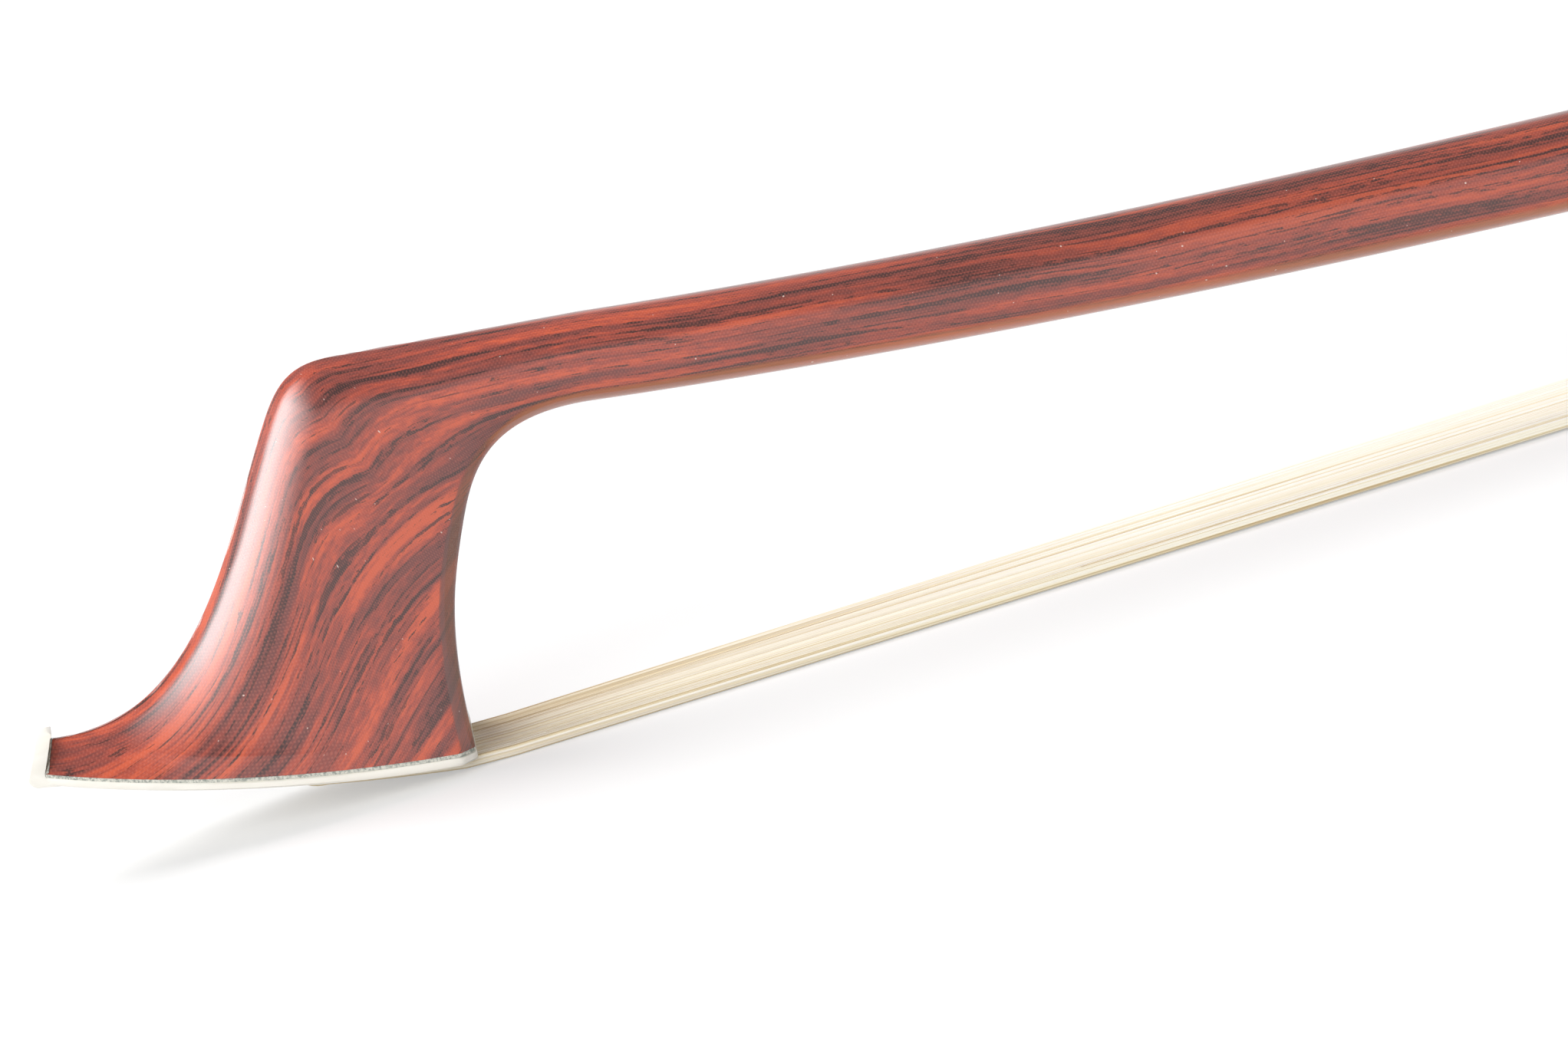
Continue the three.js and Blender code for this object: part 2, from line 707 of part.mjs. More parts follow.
/** The ribbon's ring at a station, with ridges above and below. */
function hairRing({ x, z, halfWidth }, index) {
  const before = hairStations[Math.max(index - 1, 0)];
  const after = hairStations[Math.min(index + 1, hairStations.length - 1)];
  const along = new THREE.Vector2(after.x - before.x, after.z - before.z).normalize();
  const count = 2 * hairRidges;
  const side = (sign) => Array.from({ length: count + 1 }, (_, i) => {
    const share = (sign > 0 ? count - i : i) / count;
    const valley = i % 2 === 0 ? hairRidgeDepth : 0;
    const up = sign * (hairThickness / 2 - valley);
    const y = halfWidth * (2 * share - 1);
    return new THREE.Vector3(x - along.y * up, y, z + along.x * up);
  });
  return [...side(-1), ...side(1)];
}

/** An end face over a band of points that run out along one side and back along the other. */
function bandFaces(first, pointCount, facesForward) {
  const faces = [];
  for (let i = 0; i < pointCount / 2 - 1; i += 1) {
    const [a, b] = [first + i, first + i + 1];
    const [c, d] = [first + pointCount - 2 - i, first + pointCount - 1 - i];
    faces.push(...(facesForward ? [a, b, c, a, c, d] : [a, c, b, a, d, c]));
  }
  return faces;
}

const hairRings = hairStations.map(hairRing);
const hairPoints = hairRings[0].length;
const hairRibbon = geometryFrom(hairRings, [
  ...ringFaces(hairRings.length, hairPoints, false),
  ...bandFaces(0, hairPoints, false),
  ...bandFaces((hairRings.length - 1) * hairPoints, hairPoints, true),
]);

/** A bound knot across the bow, with its axis through x and z. */
function knot(x, z, width) {
  const waist = knotRadius / 3;
  const end = width / 2;
  const profile = [
    [0, -end],
    [knotRadius - waist, -end],
    [knotRadius, -end + waist],
    [knotRadius, -waist],
    [knotRadius - waist, 0],
    [knotRadius, waist],
    [knotRadius, end - waist],
    [knotRadius - waist, end],
    [0, end],
  ];
  const points = profile.map(([radius, along]) => new THREE.Vector2(radius, along));
  return new THREE.LatheGeometry(points, halfRing).translate(x, 0, z);
}

const headKnot = knot(
  mortiseFrontX + fitGap + knotRadius,
  headPlugTop + fitGap + knotRadius,
  headMortise.width - 2 * runGap,
);
const plugInset = 2 * hairUp + fitGap;
const plugCorner = hairBend - 2 * hairUp;
const headPlugFront = mortiseFrontX + fitGap + plugInset;
const headPlugRear = -headMortise.fromRear - fitGap;
const plugUnder = (x) => underPlate(x) + hairUp + glueGap;
const headPlug = across(
  outlineOf([
    [headPlugFront, plugUnder(headPlugFront) + plugCorner],
    [headPlugFront + plugCorner, plugUnder(headPlugFront + plugCorner)],
    [headPlugRear, plugUnder(headPlugRear)],
    [headPlugRear, headPlugTop],
    [headPlugFront, headPlugTop],
  ]),
  headMortise.width - 2 * fitGap,
);

// Frog body: level outlines from its base to its cheeks. Each runs from the heel to the throat,
// with the throat's edges rounded off, and the ferrule's D shape where the tongue begins.

const cheekHeight = axisHeight - cheekDrop;
const shoulderX = ferruleLength + fitGap;
const throatX = shoulderX + throatDepth;
const throatLevel = ferruleHeight + throatHeight;
const lipLevel = cheekHeight - lipHeight;
const narrowingShares = { start: 0.15, end: 0.82 };

const throatLine = [
  new THREE.CubicBezierCurve(
    new THREE.Vector2(shoulderX, ferruleHeight),
    new THREE.Vector2(mix(shoulderX, throatX, 0.6), ferruleHeight),
    new THREE.Vector2(throatX, mix(ferruleHeight, throatLevel, 0.45)),
    new THREE.Vector2(throatX, throatLevel),
  ),
  new THREE.CubicBezierCurve(
    new THREE.Vector2(throatX, throatLevel),
    new THREE.Vector2(throatX, mix(throatLevel, lipLevel, 0.5)),
    new THREE.Vector2(mix(throatX, lipX, 0.72), mix(throatLevel, lipLevel, 0.62)),
    new THREE.Vector2(lipX, lipLevel),
  ),
];
const heelShares = [0, 0.03, 0.12, 0.28, 0.5, 0.75, 0.94];
const throatSteps = [[0, 0.25, 0.5, 0.75], [0, 0.2, 0.4, 0.6, 0.8, 1]];
const frogLevels = [
  ...heelShares.map((share) => [shoulderX, share * heelRadius]),
  ...throatLine.flatMap((curve, part) =>
    throatSteps[part].map((share) => curve.getPoint(share).toArray())),
  [lipX + lipHeight / 3, cheekHeight],
];

/** Half the frog's width at a height over its base. */
function frogHalfWidth(z) {
  const from = narrowingShares.start * cheekHeight;
  const to = narrowingShares.end * cheekHeight;
  const share = THREE.MathUtils.clamp((z - from) / (to - from), 0, 1);
  return mix(frogWidth, frogTopWidth, 1 - (1 - share) ** 2) / 2;
}

/** The frog's rear end at a height over its base, round the heel. */
function heelX(z, inset = 0) {
  const radius = heelRadius - inset;
  const below = Math.max(heelRadius - z, 0);
  return frogLength - heelRadius + Math.sqrt(Math.max(radius ** 2 - below ** 2, 0));
}

/** Half the ferrule's width at a height, for an outline set in by a wall. */
function ferruleHalfWidth(z, inset = 0) {
  const rise = ferruleHeight - inset - ferruleSideHeight;
  const share = THREE.MathUtils.clamp((z - ferruleSideHeight) / rise, 0, 1);
  return (frogWidth / 2 - inset) * Math.sqrt(1 - share ** 2);
}

const edgeTurns = [0, 0.25, 0.5, 0.75, 1].map((share) => (share * Math.PI) / 2);
function frogRing([frontX, z]) {
  const rear = heelX(z);
  const width = frogHalfWidth(z);
  const inThroat = z >= ferruleHeight;
  const opened = ease(z, ferruleHeight, throatLevel);
  const frontWidth = inThroat ? (width - throatEdge) * opened : Math.min(ferruleHalfWidth(z), width);
  const edge = mix(throatDepth, throatEdge, inThroat ? opened : 0);
  const rightHalf = [
    [rear, 0],
    [rear, width - heelCorner],
    [rear - heelCorner, width],
    ...edgeTurns.map((turn) => [
      frontX + edge * (1 - Math.sin(turn)),
      mix(frontWidth, width, Math.cos(turn)),
    ]),
    [frontX, 0],
  ];
  return mirrored(rightHalf.map(([x, y]) => new THREE.Vector3(x, y, z)));
}

const frogBlank = loft(frogLevels.map(frogRing));

/** The ferrule's outline, set in by a wall and cut off at a floor. */
function ferruleShape(inset, floor) {
  const width = frogWidth / 2 - inset;
  const corner = Math.max(ferruleCorner - inset, 0);
  const shape = new THREE.Shape();
  shape.moveTo(-width, ferruleSideHeight);
  shape.lineTo(-width, floor + corner);
  shape.lineTo(-width + corner, floor);
  shape.lineTo(width - corner, floor);
  shape.lineTo(width, floor + corner);
  shape.lineTo(width, ferruleSideHeight);
  const rise = ferruleHeight - inset - ferruleSideHeight;
  shape.absellipse(0, ferruleSideHeight, width, rise, 0, Math.PI, false, 0);
  return shape;
}

const ferruleOutline = ferruleShape(0, 0);
ferruleOutline.holes.push(ferruleShape(ferruleWall, ferruleWall));
const ferrule = alongX(ferruleOutline, 0, ferruleLength);

const tongueFloor = hairOnFlat + hairUp + wedgeThickness + glueGap;
const tongue = alongX(
  ferruleShape(ferruleWall + fitGap / 2, tongueFloor),
  tongueSetback,
  shoulderX + throatEdge / 2,
);

// Heel and back plates: the frog's own skin at its rear, set into the ebony.

const plateFrontX = frogLength - heelRadius - heelPlateReach;
const underslideOut = fitGap + underslideThickness;
const troughFloor = axisHeight - handleFlats / 2 - underslideOut - glueGap;
const backPlateFoot = heelRadius;
const backPlateTop = troughFloor - backPlateTopGap;

/** All that lies within the frog's heel and base by an inset. */
function heelCore(inset) {
  const steps = [0, 0.2, 0.4, 0.6, 0.8, 1];
  const arc = steps.map((share) => {
    const turn = (Math.PI / 2) * share;
    const radius = heelRadius - inset;
    return [
      frogLength - heelRadius + radius * Math.sin(turn),
      heelRadius - radius * Math.cos(turn),
    ];
  });
  const rear = frogLength - inset;
  return across(
    outlineOf([[-cutOverrun, inset], ...arc, [rear, axisHeight], [-cutOverrun, axisHeight]]),
    2 * frogWidth,
  );
}

const plateSpace = (x0, z0, z1) =>
  box([x0, -frogWidth, z0], [frogLength + cutOverrun, frogWidth, z1]);
const frogSkin = cut(frogBlank, heelCore(heelPlateThickness));
const heelPlate = common(frogSkin, plateSpace(plateFrontX, -cutOverrun, backPlateFoot - glueGap));
const backPlate = common(frogSkin, plateSpace(plateFrontX, backPlateFoot, backPlateTop));
const plateRecess = cut(
  plateSpace(plateFrontX - glueGap, -cutOverrun, backPlateTop + glueGap),
  heelCore(heelPlateThickness + glueGap),
);

// Slide: a dovetail in the frog's underside, pearl over ebony, from the ferrule to the heel.

/** The dovetail between two heights, spread by a clearance. */
function dovetail(x0, x1, z0, z1, clearance = 0) {
  const halfAt = (z) => slideWidth / 2 + (slideFlare * z) / slideTop + clearance;
  return alongX(
    outlineOf([[-halfAt(z0), z0], [halfAt(z0), z0], [halfAt(z1), z1], [-halfAt(z1), z1]]),
    x0,
    x1,
  );
}

const slideFront = shoulderX;
const slideRear = plateFrontX - 2 * glueGap;
const slidePearl = dovetail(slideFront, slideRear, 0, slidePearlThickness);
const slideBacking = dovetail(slideFront, slideRear, slidePearlThickness + glueGap, slideTop);
const slideRecess = dovetail(
  ferruleLength, plateFrontX - glueGap, -glueGap, slideTop + glueGap, glueGap,
);

const mortiseX0 = ferruleLength + frogMortise.fromFerrule;
const mortiseX1 = mortiseX0 + frogMortise.length;
const frogMortiseRoof = slideTop + frogMortise.height;
const frogMortiseRoom = box(
  [mortiseX0, -frogMortise.width / 2, slideTop],
  [mortiseX1, frogMortise.width / 2, frogMortiseRoof],
);
const hairChannel = box(
  [ferruleLength, -hairWidthAtFerrule / 2, slideTop],
  [mortiseX1 - cutOverrun, hairWidthAtFerrule / 2, hairOnSlide + hairUp + fitGap],
);

// Eyes: a pearl disc and a metal ring in each flank, flush with it.

const ringInner = eyeDiameter + 2 * eyeRingGap;
const ringOuter = ringInner + 2 * eyeRingWidth;
const eyeFloor = frogHalfWidth(eyeHeight) - eyeDepth;
const eyeRod = (side, diameter, floor) => {
  const [near, far] = [side * floor, side * frogWidth].sort((a, b) => a - b);
  return rodAlongY(eyeX, eyeHeight, near, far, diameter);
};
const eyeDisc = (side) => common(frogBlank, eyeRod(side, eyeDiameter, eyeFloor));
const eyeRing = (side) =>
  cut(common(frogBlank, eyeRod(side, ringOuter, eyeFloor)), eyeRod(side, ringInner, 0));
const eyeRecesses = [-1, 1].flatMap((side) => [
  eyeRod(side, eyeDiameter + 2 * glueGap, eyeFloor - glueGap),
  cut(
    eyeRod(side, ringOuter + 2 * glueGap, eyeFloor - glueGap),
    eyeRod(side, ringInner - 2 * glueGap, 0),
  ),
]);

// Underslide: a thin metal lining between the frog and the stick's three lower flats.

/** The lower half of the stick's octagon, grown by a clearance, up to a level over the base. */
function lowerFlats(clearance, topZ) {
  const flat = handleFlats / 2 + clearance;
  const bottomHalf = flat * Math.tan(Math.PI / 8);
  const drop = axisHeight - topZ;
  const topHalf = flat * Math.SQRT2 - drop;
  return [
    [-topHalf, topZ],
    [-bottomHalf, axisHeight - flat],
    [bottomHalf, axisHeight - flat],
    [topHalf, topZ],
  ];
}

const underslideX0 = lipX + lipHeight / 2;
const underslideX1 = frogLength - glueGap;
const shankRoom = rodAlongZ(
  eyeletX, axisHeight - eyeletHeight - shankLength, axisHeight, shankDiameter + 2 * fitGap,
);
const underslide = cut(
  alongX(
    outlineOf([...lowerFlats(underslideOut, cheekHeight), ...lowerFlats(fitGap, cheekHeight).reverse()]),
    underslideX0,
    underslideX1,
  ),
  shankRoom,
);
const trough = alongX(
  outlineOf(lowerFlats(underslideOut + glueGap, cheekHeight + cutOverrun)),
  -cutOverrun,
  frogLength + cutOverrun,
);

const frogBody = cut(
  joined(frogBlank, tongue),
  plateRecess,
  slideRecess,
  hairChannel,
  frogMortiseRoom,
  ...eyeRecesses,
  trough,
  shankRoom,
);

const wedge = across(
  outlineOf([
    [tongueSetback, hairOnFlat + hairUp],
    [tongueSetback + wedgeLength, hairOnFlat + hairUp],
    [tongueSetback + wedgeLength, tongueFloor - glueGap - wedgeThickness / 3],
    [tongueSetback, tongueFloor - glueGap],
  ]),
  frogWidth - 2 * ferruleWall - 4 * fitGap,
);
const frogKnot = knot(
  mortiseX1 - fitGap - knotRadius,
  frogPlugTop + fitGap + knotRadius,
  frogMortise.width - 2 * runGap,
);
const frogPlugRear = mortiseX1 - fitGap - plugInset;
const frogPlugUnder = hairOnSlide + hairUp;
const frogPlug = across(
  outlineOf([
    [mortiseX0 + fitGap, frogPlugUnder],
    [frogPlugRear - plugCorner, frogPlugUnder],
    [frogPlugRear, frogPlugUnder + plugCorner],
    [frogPlugRear, frogPlugTop],
    [mortiseX0 + fitGap, frogPlugTop],
  ]),
  frogMortise.width - 2 * fitGap,
);

const eyeletBlock = common(
  rodAlongX(eyeletX - eyeletLength / 2, eyeletX + eyeletLength / 2, axisHeight, eyeletHeight),
  box(
    [eyeletX - eyeletLength, -eyeletWidth / 2, axisHeight - eyeletHeight],
    [eyeletX + eyeletLength, eyeletWidth / 2, axisHeight + eyeletHeight],
  ),
);
const eyeletFoot = axisHeight - eyeletHeight / 2 - shankLength;
const eyelet = cut(
  joined(eyeletBlock, rodAlongZ(eyeletX, eyeletFoot, axisHeight - eyeletHeight / 3, shankDiameter)),
  rodAlongX(0, buttX, axisHeight, screwDiameter + 2 * fitGap),
);

// Button: an ebony core between two metal collars, turned on eight sides, with the screw in it.

const flatTurn = Math.PI / 8;
const flatReach = buttonFlats / 2 / Math.cos(flatTurn);
const buttonX0 = buttX + runGap;
const buttonX1 = buttonX0 + frontCollarLength;
const buttonX2 = buttonX1 + coreLength;
const buttonX3 = buttonX2 + capLength;
const tenonRoom = tenonDiameter + 2 * glueGap;
const capBore = buttonX3 - capWall;
const octagonal = (profile) => turnedAlongX(profile, axisHeight, 8, flatTurn);

const frontCollar = cut(
  octagonal([
    [buttonX0, 0],
    [buttonX0, flatReach - capRounding / 4],
    [buttonX0 + capRounding / 4, flatReach],
    [buttonX1 - glueGap, flatReach],
    [buttonX1 - glueGap, 0],
  ]),
  rodAlongX(buttX, buttonX1 + cutOverrun, axisHeight, tenonRoom),
);
const coreBarrel = octagonal([
  [buttonX1, 0],
  [buttonX1, flatReach],
  [mix(buttonX1, buttonX2, 0.25), flatReach - coreWaist * 0.75],
  [mix(buttonX1, buttonX2, 0.5), flatReach - coreWaist],
  [mix(buttonX1, buttonX2, 0.75), flatReach - coreWaist * 0.75],
  [buttonX2, flatReach],
  [buttonX2, 0],
]);
const buttonCore = cut(
  joined(coreBarrel, rodAlongX(buttonX0 + glueGap, capBore - glueGap, axisHeight, tenonDiameter)),
  rodAlongX(buttX, buttX + spigotLength + runGap, axisHeight, spigotDiameter + 2 * fitGap),
  rodAlongX(buttX, buttonX3, axisHeight, screwDiameter + 2 * glueGap),
);
const buttonCap = cut(
  octagonal([
    [buttonX2 + glueGap, 0],
    [buttonX2 + glueGap, flatReach],
    [buttonX3 - capRounding, flatReach],
    [buttonX3 - capRounding / 3, flatReach - capRounding / 3],
    [buttonX3, flatReach - capRounding],
    [buttonX3, 0],
  ]),
  rodAlongX(buttX, capBore, axisHeight, tenonRoom),
  rodAlongX(buttonX3 - buttonPearlDepth, buttonX3 + cutOverrun, axisHeight,
    buttonPearlDiameter + 2 * glueGap),
);
const pearlRadius = buttonPearlDiameter / 2;
const buttonPearl = turnedAlongX(
  [
    [buttonX3 - buttonPearlDepth + glueGap, 0],
    [buttonX3 - buttonPearlDepth + glueGap, pearlRadius],
    [buttonX3, pearlRadius],
    [buttonX3 + buttonPearlDome * 0.75, pearlRadius / 2],
    [buttonX3 + buttonPearlDome, 0],
  ],
  axisHeight,
  roundSides,
);
const screwNose = screwDiameter / 2;
const screw = turnedAlongX(
  [
    [buttX - screwReach, 0],
    [buttX - screwReach, screwNose / 2],
    [buttX - screwReach + screwNose, screwNose],
    [capBore - glueGap, screwNose],
    [capBore - glueGap, 0],
  ],
  axisHeight,
  halfRing,
);

// Grip: a leather sleeve from near the frog to just past the end of the stick's flats, which it
// follows softly. Its edges are pared thin.

const gripRear = lipX - gripRoom;
const gripFront = roundEndX - gripPastFlats;
const gripSoftness = 0.5;
function gripRing(x, thickness) {
  const section = handleSection(x);
  return handleRing(x, (turn) => {
    const round = mix(section(turn), section(Math.PI / 8), gripSoftness);
    return Math.max(round, section(turn)) + fitGap + thickness;
  });
}
const gripX = [gripFront, gripFront + gripEdge, roundEndX + octagonRunout, gripRear - gripEdge, gripRear];
const gripOuter = gripX.map((x, i) =>
  gripRing(x, i === 0 || i === gripX.length - 1 ? gripEdgeThickness : gripThickness));
const gripInner = [...gripX].reverse().map((x) => {
  const section = handleSection(x);
  return handleRing(x, (turn) => section(turn) + fitGap);
});
const thumbGrip = tubeWall([...gripOuter, ...gripInner]);

// Lapping: one flat strip wound round the stick in front of the grip, with a slight crown.

const lappingWidth = lappingPitch - lappingGap;
const lappingStart = gripFront - fitGap - lappingWidth / 2;
const lappingRings = Array.from({ length: lappingLoops * lappingSteps + 1 }, (_, i) => {
  const turn = (2 * Math.PI * i) / lappingSteps;
  const x = lappingStart - (lappingPitch * i) / lappingSteps;
  const inner = stickRadius(fromHandle(x - lappingWidth / 2, 0, axisHeight).x) + runGap;
  const outer = inner + lappingThickness;
  const profile = [
    [-lappingWidth / 2, inner],
    [lappingWidth / 2, inner],
    [lappingWidth / 2, outer - lappingCrown],
    [0, outer],
    [-lappingWidth / 2, outer - lappingCrown],
  ];
  return profile.map(([along, radius]) => new THREE.Vector3(
    x + along,
    radius * Math.sin(turn),
    axisHeight - radius * Math.cos(turn),
  ));
});
const lappingPoints = lappingRings[0].length;
const lastLoop = (lappingRings.length - 1) * lappingPoints;
const fan = (first) => [[0, 1, 2], [0, 2, 3], [0, 3, 4]].map((face) => face.map((i) => first + i));
const lapping = geometryFrom(lappingRings, [
  ...ringFaces(lappingRings.length, lappingPoints, false),
  ...fan(0).flatMap(([a, b, c]) => [a, c, b]),
  ...fan(lastLoop).flat(),
]);

const leastGap = lappingRings.slice(lappingSteps).reduce((least, ring, i) => {
  const distances = lappingRings[i].flatMap((here) => ring.map((next) => here.distanceTo(next)));
  return Math.min(least, ...distances);
}, Infinity);
console.log(`lapping: least gap between its loops ${leastGap.toFixed(2)} mm`);

// Assembly

function piece(name, geometry, look) {
  geometry.computeVertexNormals();
  const mesh = new THREE.Mesh(geometry, new THREE.MeshStandardMaterial(look));
  mesh.name = name;
  return mesh;
}

const frog = new THREE.Group();
frog.add(
  piece('frog_body', frogBody, finishes.ebony),
  piece('underslide', underslide, finishes.silver),
  piece('ferrule', ferrule, finishes.silver),
  piece('spread_wedge', wedge, finishes.plug),
  piece('frog_plug', frogPlug, finishes.plug),
  piece('frog_hair_knot', frogKnot, finishes.thread),
  piece('slide_backing', slideBacking, finishes.ebony),
  piece('slide_pearl', slidePearl, finishes.pearl),
  piece('heel_plate', heelPlate, finishes.silver),
  piece('back_plate', backPlate, finishes.silver),
  piece('pearl_eye_left', eyeDisc(1), finishes.pearl),
  piece('pearl_eye_right', eyeDisc(-1), finishes.pearl),
  piece('eye_ring_left', eyeRing(1), finishes.silver),
  piece('eye_ring_right', eyeRing(-1), finishes.silver),
  piece('eyelet', eyelet, finishes.brass),
);

const adjuster = new THREE.Group();
adjuster.add(
  piece('screw', screw, finishes.steel),
  piece('button_front_collar', frontCollar, finishes.silver),
  piece('button_core', buttonCore, finishes.ebony),
  piece('button_cap', buttonCap, finishes.silver),
  piece('button_pearl', buttonPearl, finishes.pearl),
);

handle.add(
  frog,
  adjuster,
  piece('thumb_grip', thumbGrip, finishes.leather),
  piece('lapping', lapping, finishes.lapping),
);

const bow = new THREE.Group();
bow.add(
  piece('stick', stick, finishes.stick),
  piece('head_liner', headLiner, finishes.liner),
  piece('tip_plate', tipPlate, finishes.plate),
  piece('head_plug', headPlug, finishes.plug),
  piece('head_hair_knot', headKnot, finishes.thread),
  piece('hair_ribbon', hairRibbon, finishes.hair),
  handle,
);

// The origin is under the middle of the whole bow, on the table.
const extent = new THREE.Box3().setFromObject(bow, true);
bow.position.set(-(extent.min.x + extent.max.x) / 2, 0, -extent.min.z);

export default bow;
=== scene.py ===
"""A full-size cello bow: the looks of each piece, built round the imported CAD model.

Shapes are worked out in millimetres in two frames. The bow's frame has x = 0 at the rear edge of
the tip plate and z = 0 on the table, with +X towards the button. The handle's frame is tilted up
by HANDLE_TILT about the ferrule's front, and the frog slides along its X. `in_row` and
`handle_in_row` bring a shape from these frames to the row's frame, in metres.
"""

import json
import math
from functools import partial

import bmesh
import bpy
import numpy as np
from mathutils import Matrix, Vector


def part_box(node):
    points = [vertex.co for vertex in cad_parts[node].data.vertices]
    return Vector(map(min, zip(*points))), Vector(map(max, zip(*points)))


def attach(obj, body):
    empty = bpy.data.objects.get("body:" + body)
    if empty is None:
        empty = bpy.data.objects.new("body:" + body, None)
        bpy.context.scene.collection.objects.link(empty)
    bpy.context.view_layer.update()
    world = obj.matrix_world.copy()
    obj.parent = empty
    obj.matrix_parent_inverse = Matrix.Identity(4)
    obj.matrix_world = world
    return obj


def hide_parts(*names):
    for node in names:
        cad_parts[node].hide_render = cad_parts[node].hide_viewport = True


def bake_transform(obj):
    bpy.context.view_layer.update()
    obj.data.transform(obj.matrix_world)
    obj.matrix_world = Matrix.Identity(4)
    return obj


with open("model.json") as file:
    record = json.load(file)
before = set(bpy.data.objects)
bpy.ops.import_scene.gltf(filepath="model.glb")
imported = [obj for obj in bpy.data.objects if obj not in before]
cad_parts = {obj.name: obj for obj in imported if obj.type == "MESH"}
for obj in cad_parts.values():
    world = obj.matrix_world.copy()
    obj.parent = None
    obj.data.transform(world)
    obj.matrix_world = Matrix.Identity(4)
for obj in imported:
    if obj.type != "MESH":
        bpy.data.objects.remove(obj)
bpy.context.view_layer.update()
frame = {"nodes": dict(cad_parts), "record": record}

MM = 0.001
random = np.random.default_rng(7)
# A wave texture of this scale repeats once per unit.
WAVE = 0.314

# Sizes of the real pieces, in millimetres
HAIR_LENGTH = 610.0
HANDLE_TILT = math.radians(4)
GLUE_GAP = 0.05
FIT_GAP = 0.15
RUN_GAP = 0.3
NOSE_SEAT = 0.02
LINER_SEAT = 0.01

NECK = np.array([14.0, 0.818 * 27.75])
NECK_RADIUS = 2.87
NECK_DROP = math.radians(9.1)
CAMBER_LOW_X = 205.0
CAMBER_LOW_GAP = 6.2
HANDLE_FLATS = 10.0
HANDLE_STRAIGHT = 170.0
OCTAGON_LENGTH = 76.0
OCTAGON_RUNOUT = 12.0
SPIGOT_DIAMETER = 5.8
SPIGOT_LENGTH = 2.0
SPIGOT_EASE = 0.2
BUTT_EASE = 0.25
TAPER_POWER = 1.28
ROUND_TO_FLATS = 0.98

HEAD_REACH = 26.6
HEAD_HEIGHT = 27.75
NOSE_RISE = 6.0
PLATE_SAG = 0.68
WOOD_END_HEIGHT = 1.6
WOOD_END_LEAN = 0.8
PLATE_REAR_WIDTH = 11.2
PLATE_NOSE_WIDTH = 4.1
BACK_BEVEL = 1.0
LINER = 0.25
PLATE = 0.55
NOSE_THICKNESS = 1.15
NOSE_STAND = 0.7
NOSE_CROWN = 1.5
NOSE_OVER = 0.4
NOSE_UNDER = 0.7
NOSE_EASE = 0.22
HEAD_MORTISE_LENGTH = 9.0
HEAD_MORTISE_WIDTH = 6.4
HEAD_MORTISE_DEPTH = 6.2
HEAD_MORTISE_FROM_REAR = 3.5

HAIR = 0.75
HAIR_WIDTH_AT_HEAD = 8.1
HAIR_WIDTH_AT_FERRULE = 12.2
HAIR_WIDTH_IN_FROG = 9.2
HAIR_ROUND = 26.0
HAIR_BEND = 2.3
PLUG_HEIGHT = 3.4

FROG_LENGTH = 52.0
FROG_WIDTH = 14.9
FROG_TOP_WIDTH = 12.3
AXIS_HEIGHT = 28.3
CHEEK_DROP = 2.5
FERRULE_LENGTH = 11.5
FERRULE_HEIGHT = 9.6
FERRULE_SIDE = 3.2
FERRULE_WALL = 0.7
FERRULE_CORNER = 0.6
FERRULE_EASE = 0.16
THROAT_DEPTH = 4.6
THROAT_HEIGHT = 4.2
THROAT_EDGE = 2.2
LIP_FORWARD = 4.8
LIP_HEIGHT = 1.5
HEEL_RADIUS = 9.0
HEEL_CORNER = 0.7
HEEL_PLATE = 0.8
HEEL_PLATE_REACH = 3.0
BACK_PLATE_TOP_GAP = 0.5
UNDERSLIDE = 0.4
TONGUE_SETBACK = 0.6
WEDGE = 1.3
SLIDE_PEARL = 0.85
SLIDE_BACKING = 1.05
SLIDE_WIDTH = 9.2
SLIDE_FLARE = 0.4
FROG_MORTISE_LENGTH = 10.5
FROG_MORTISE_WIDTH = 10.0
FROG_MORTISE_HEIGHT = 7.4
FROG_MORTISE_FROM_FERRULE = 6.5
EYE_X = 31.0
EYE_HEIGHT = 12.6
EYE_DIAMETER = 7.4
EYE_RING_GAP = 0.7
EYE_RING_WIDTH = 1.1
EYE_DEPTH = 0.9

TAIL_GAP = 5.5
SCREW_REACH = 72.0
SCREW_DIAMETER = 3.1
BORE_DIAMETER = 3.7
EYELET_X = 31.0
EYELET_LENGTH = 5.0
EYELET_WIDTH = 3.9
EYELET_HEIGHT = 5.8
SHANK_DIAMETER = 3.6
SHANK_LENGTH = 9.5
SLOT_FORWARD = 2.6
SLOT_REARWARD = 5.4
SLOT_ROOF = 0.35
BUTTON_FLATS = 9.8
BUTTON_CORNER = 0.07
BUTTON_ARRIS = 0.08
GROOVE_DEPTH = 0.12
GROOVE_HALF = 0.16
FRONT_COLLAR = 3.6
CORE = 7.2
CORE_WAIST = 0.4
TENON_DIAMETER = 7.5
CAP = 4.6
CAP_WALL = 1.8
CAP_ROUNDING = 1.1
BUTTON_PEARL_DIAMETER = 5.2
BUTTON_PEARL_DEPTH = 0.9

GRIP_ROOM = 2.5
GRIP_PAST_FLATS = 1.3
GRIP_THICKNESS = 1.25
GRIP_END_THICKNESS = 0.42
GRIP_PARED = 2.8
GRIP_EDGE = 0.12
SEAM_DEPTH = 0.22
SEAM_HALF = 0.28
SEAM_SWELL = 0.06
LAPPING_LOOPS = 24
LAPPING_PITCH = 3.0
LAPPING_GAP = 0.5
LAPPING_THICKNESS = 0.5

BUTT_X = FROG_LENGTH + TAIL_GAP
LIP_X = FERRULE_LENGTH - LIP_FORWARD
ROUND_END_X = BUTT_X - OCTAGON_LENGTH - OCTAGON_RUNOUT
HANDLE_FRONT_X = BUTT_X - HANDLE_STRAIGHT
ROW_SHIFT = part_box("stick")[0].x / MM + HEAD_REACH


# ---------------------------------------------------------------- materials

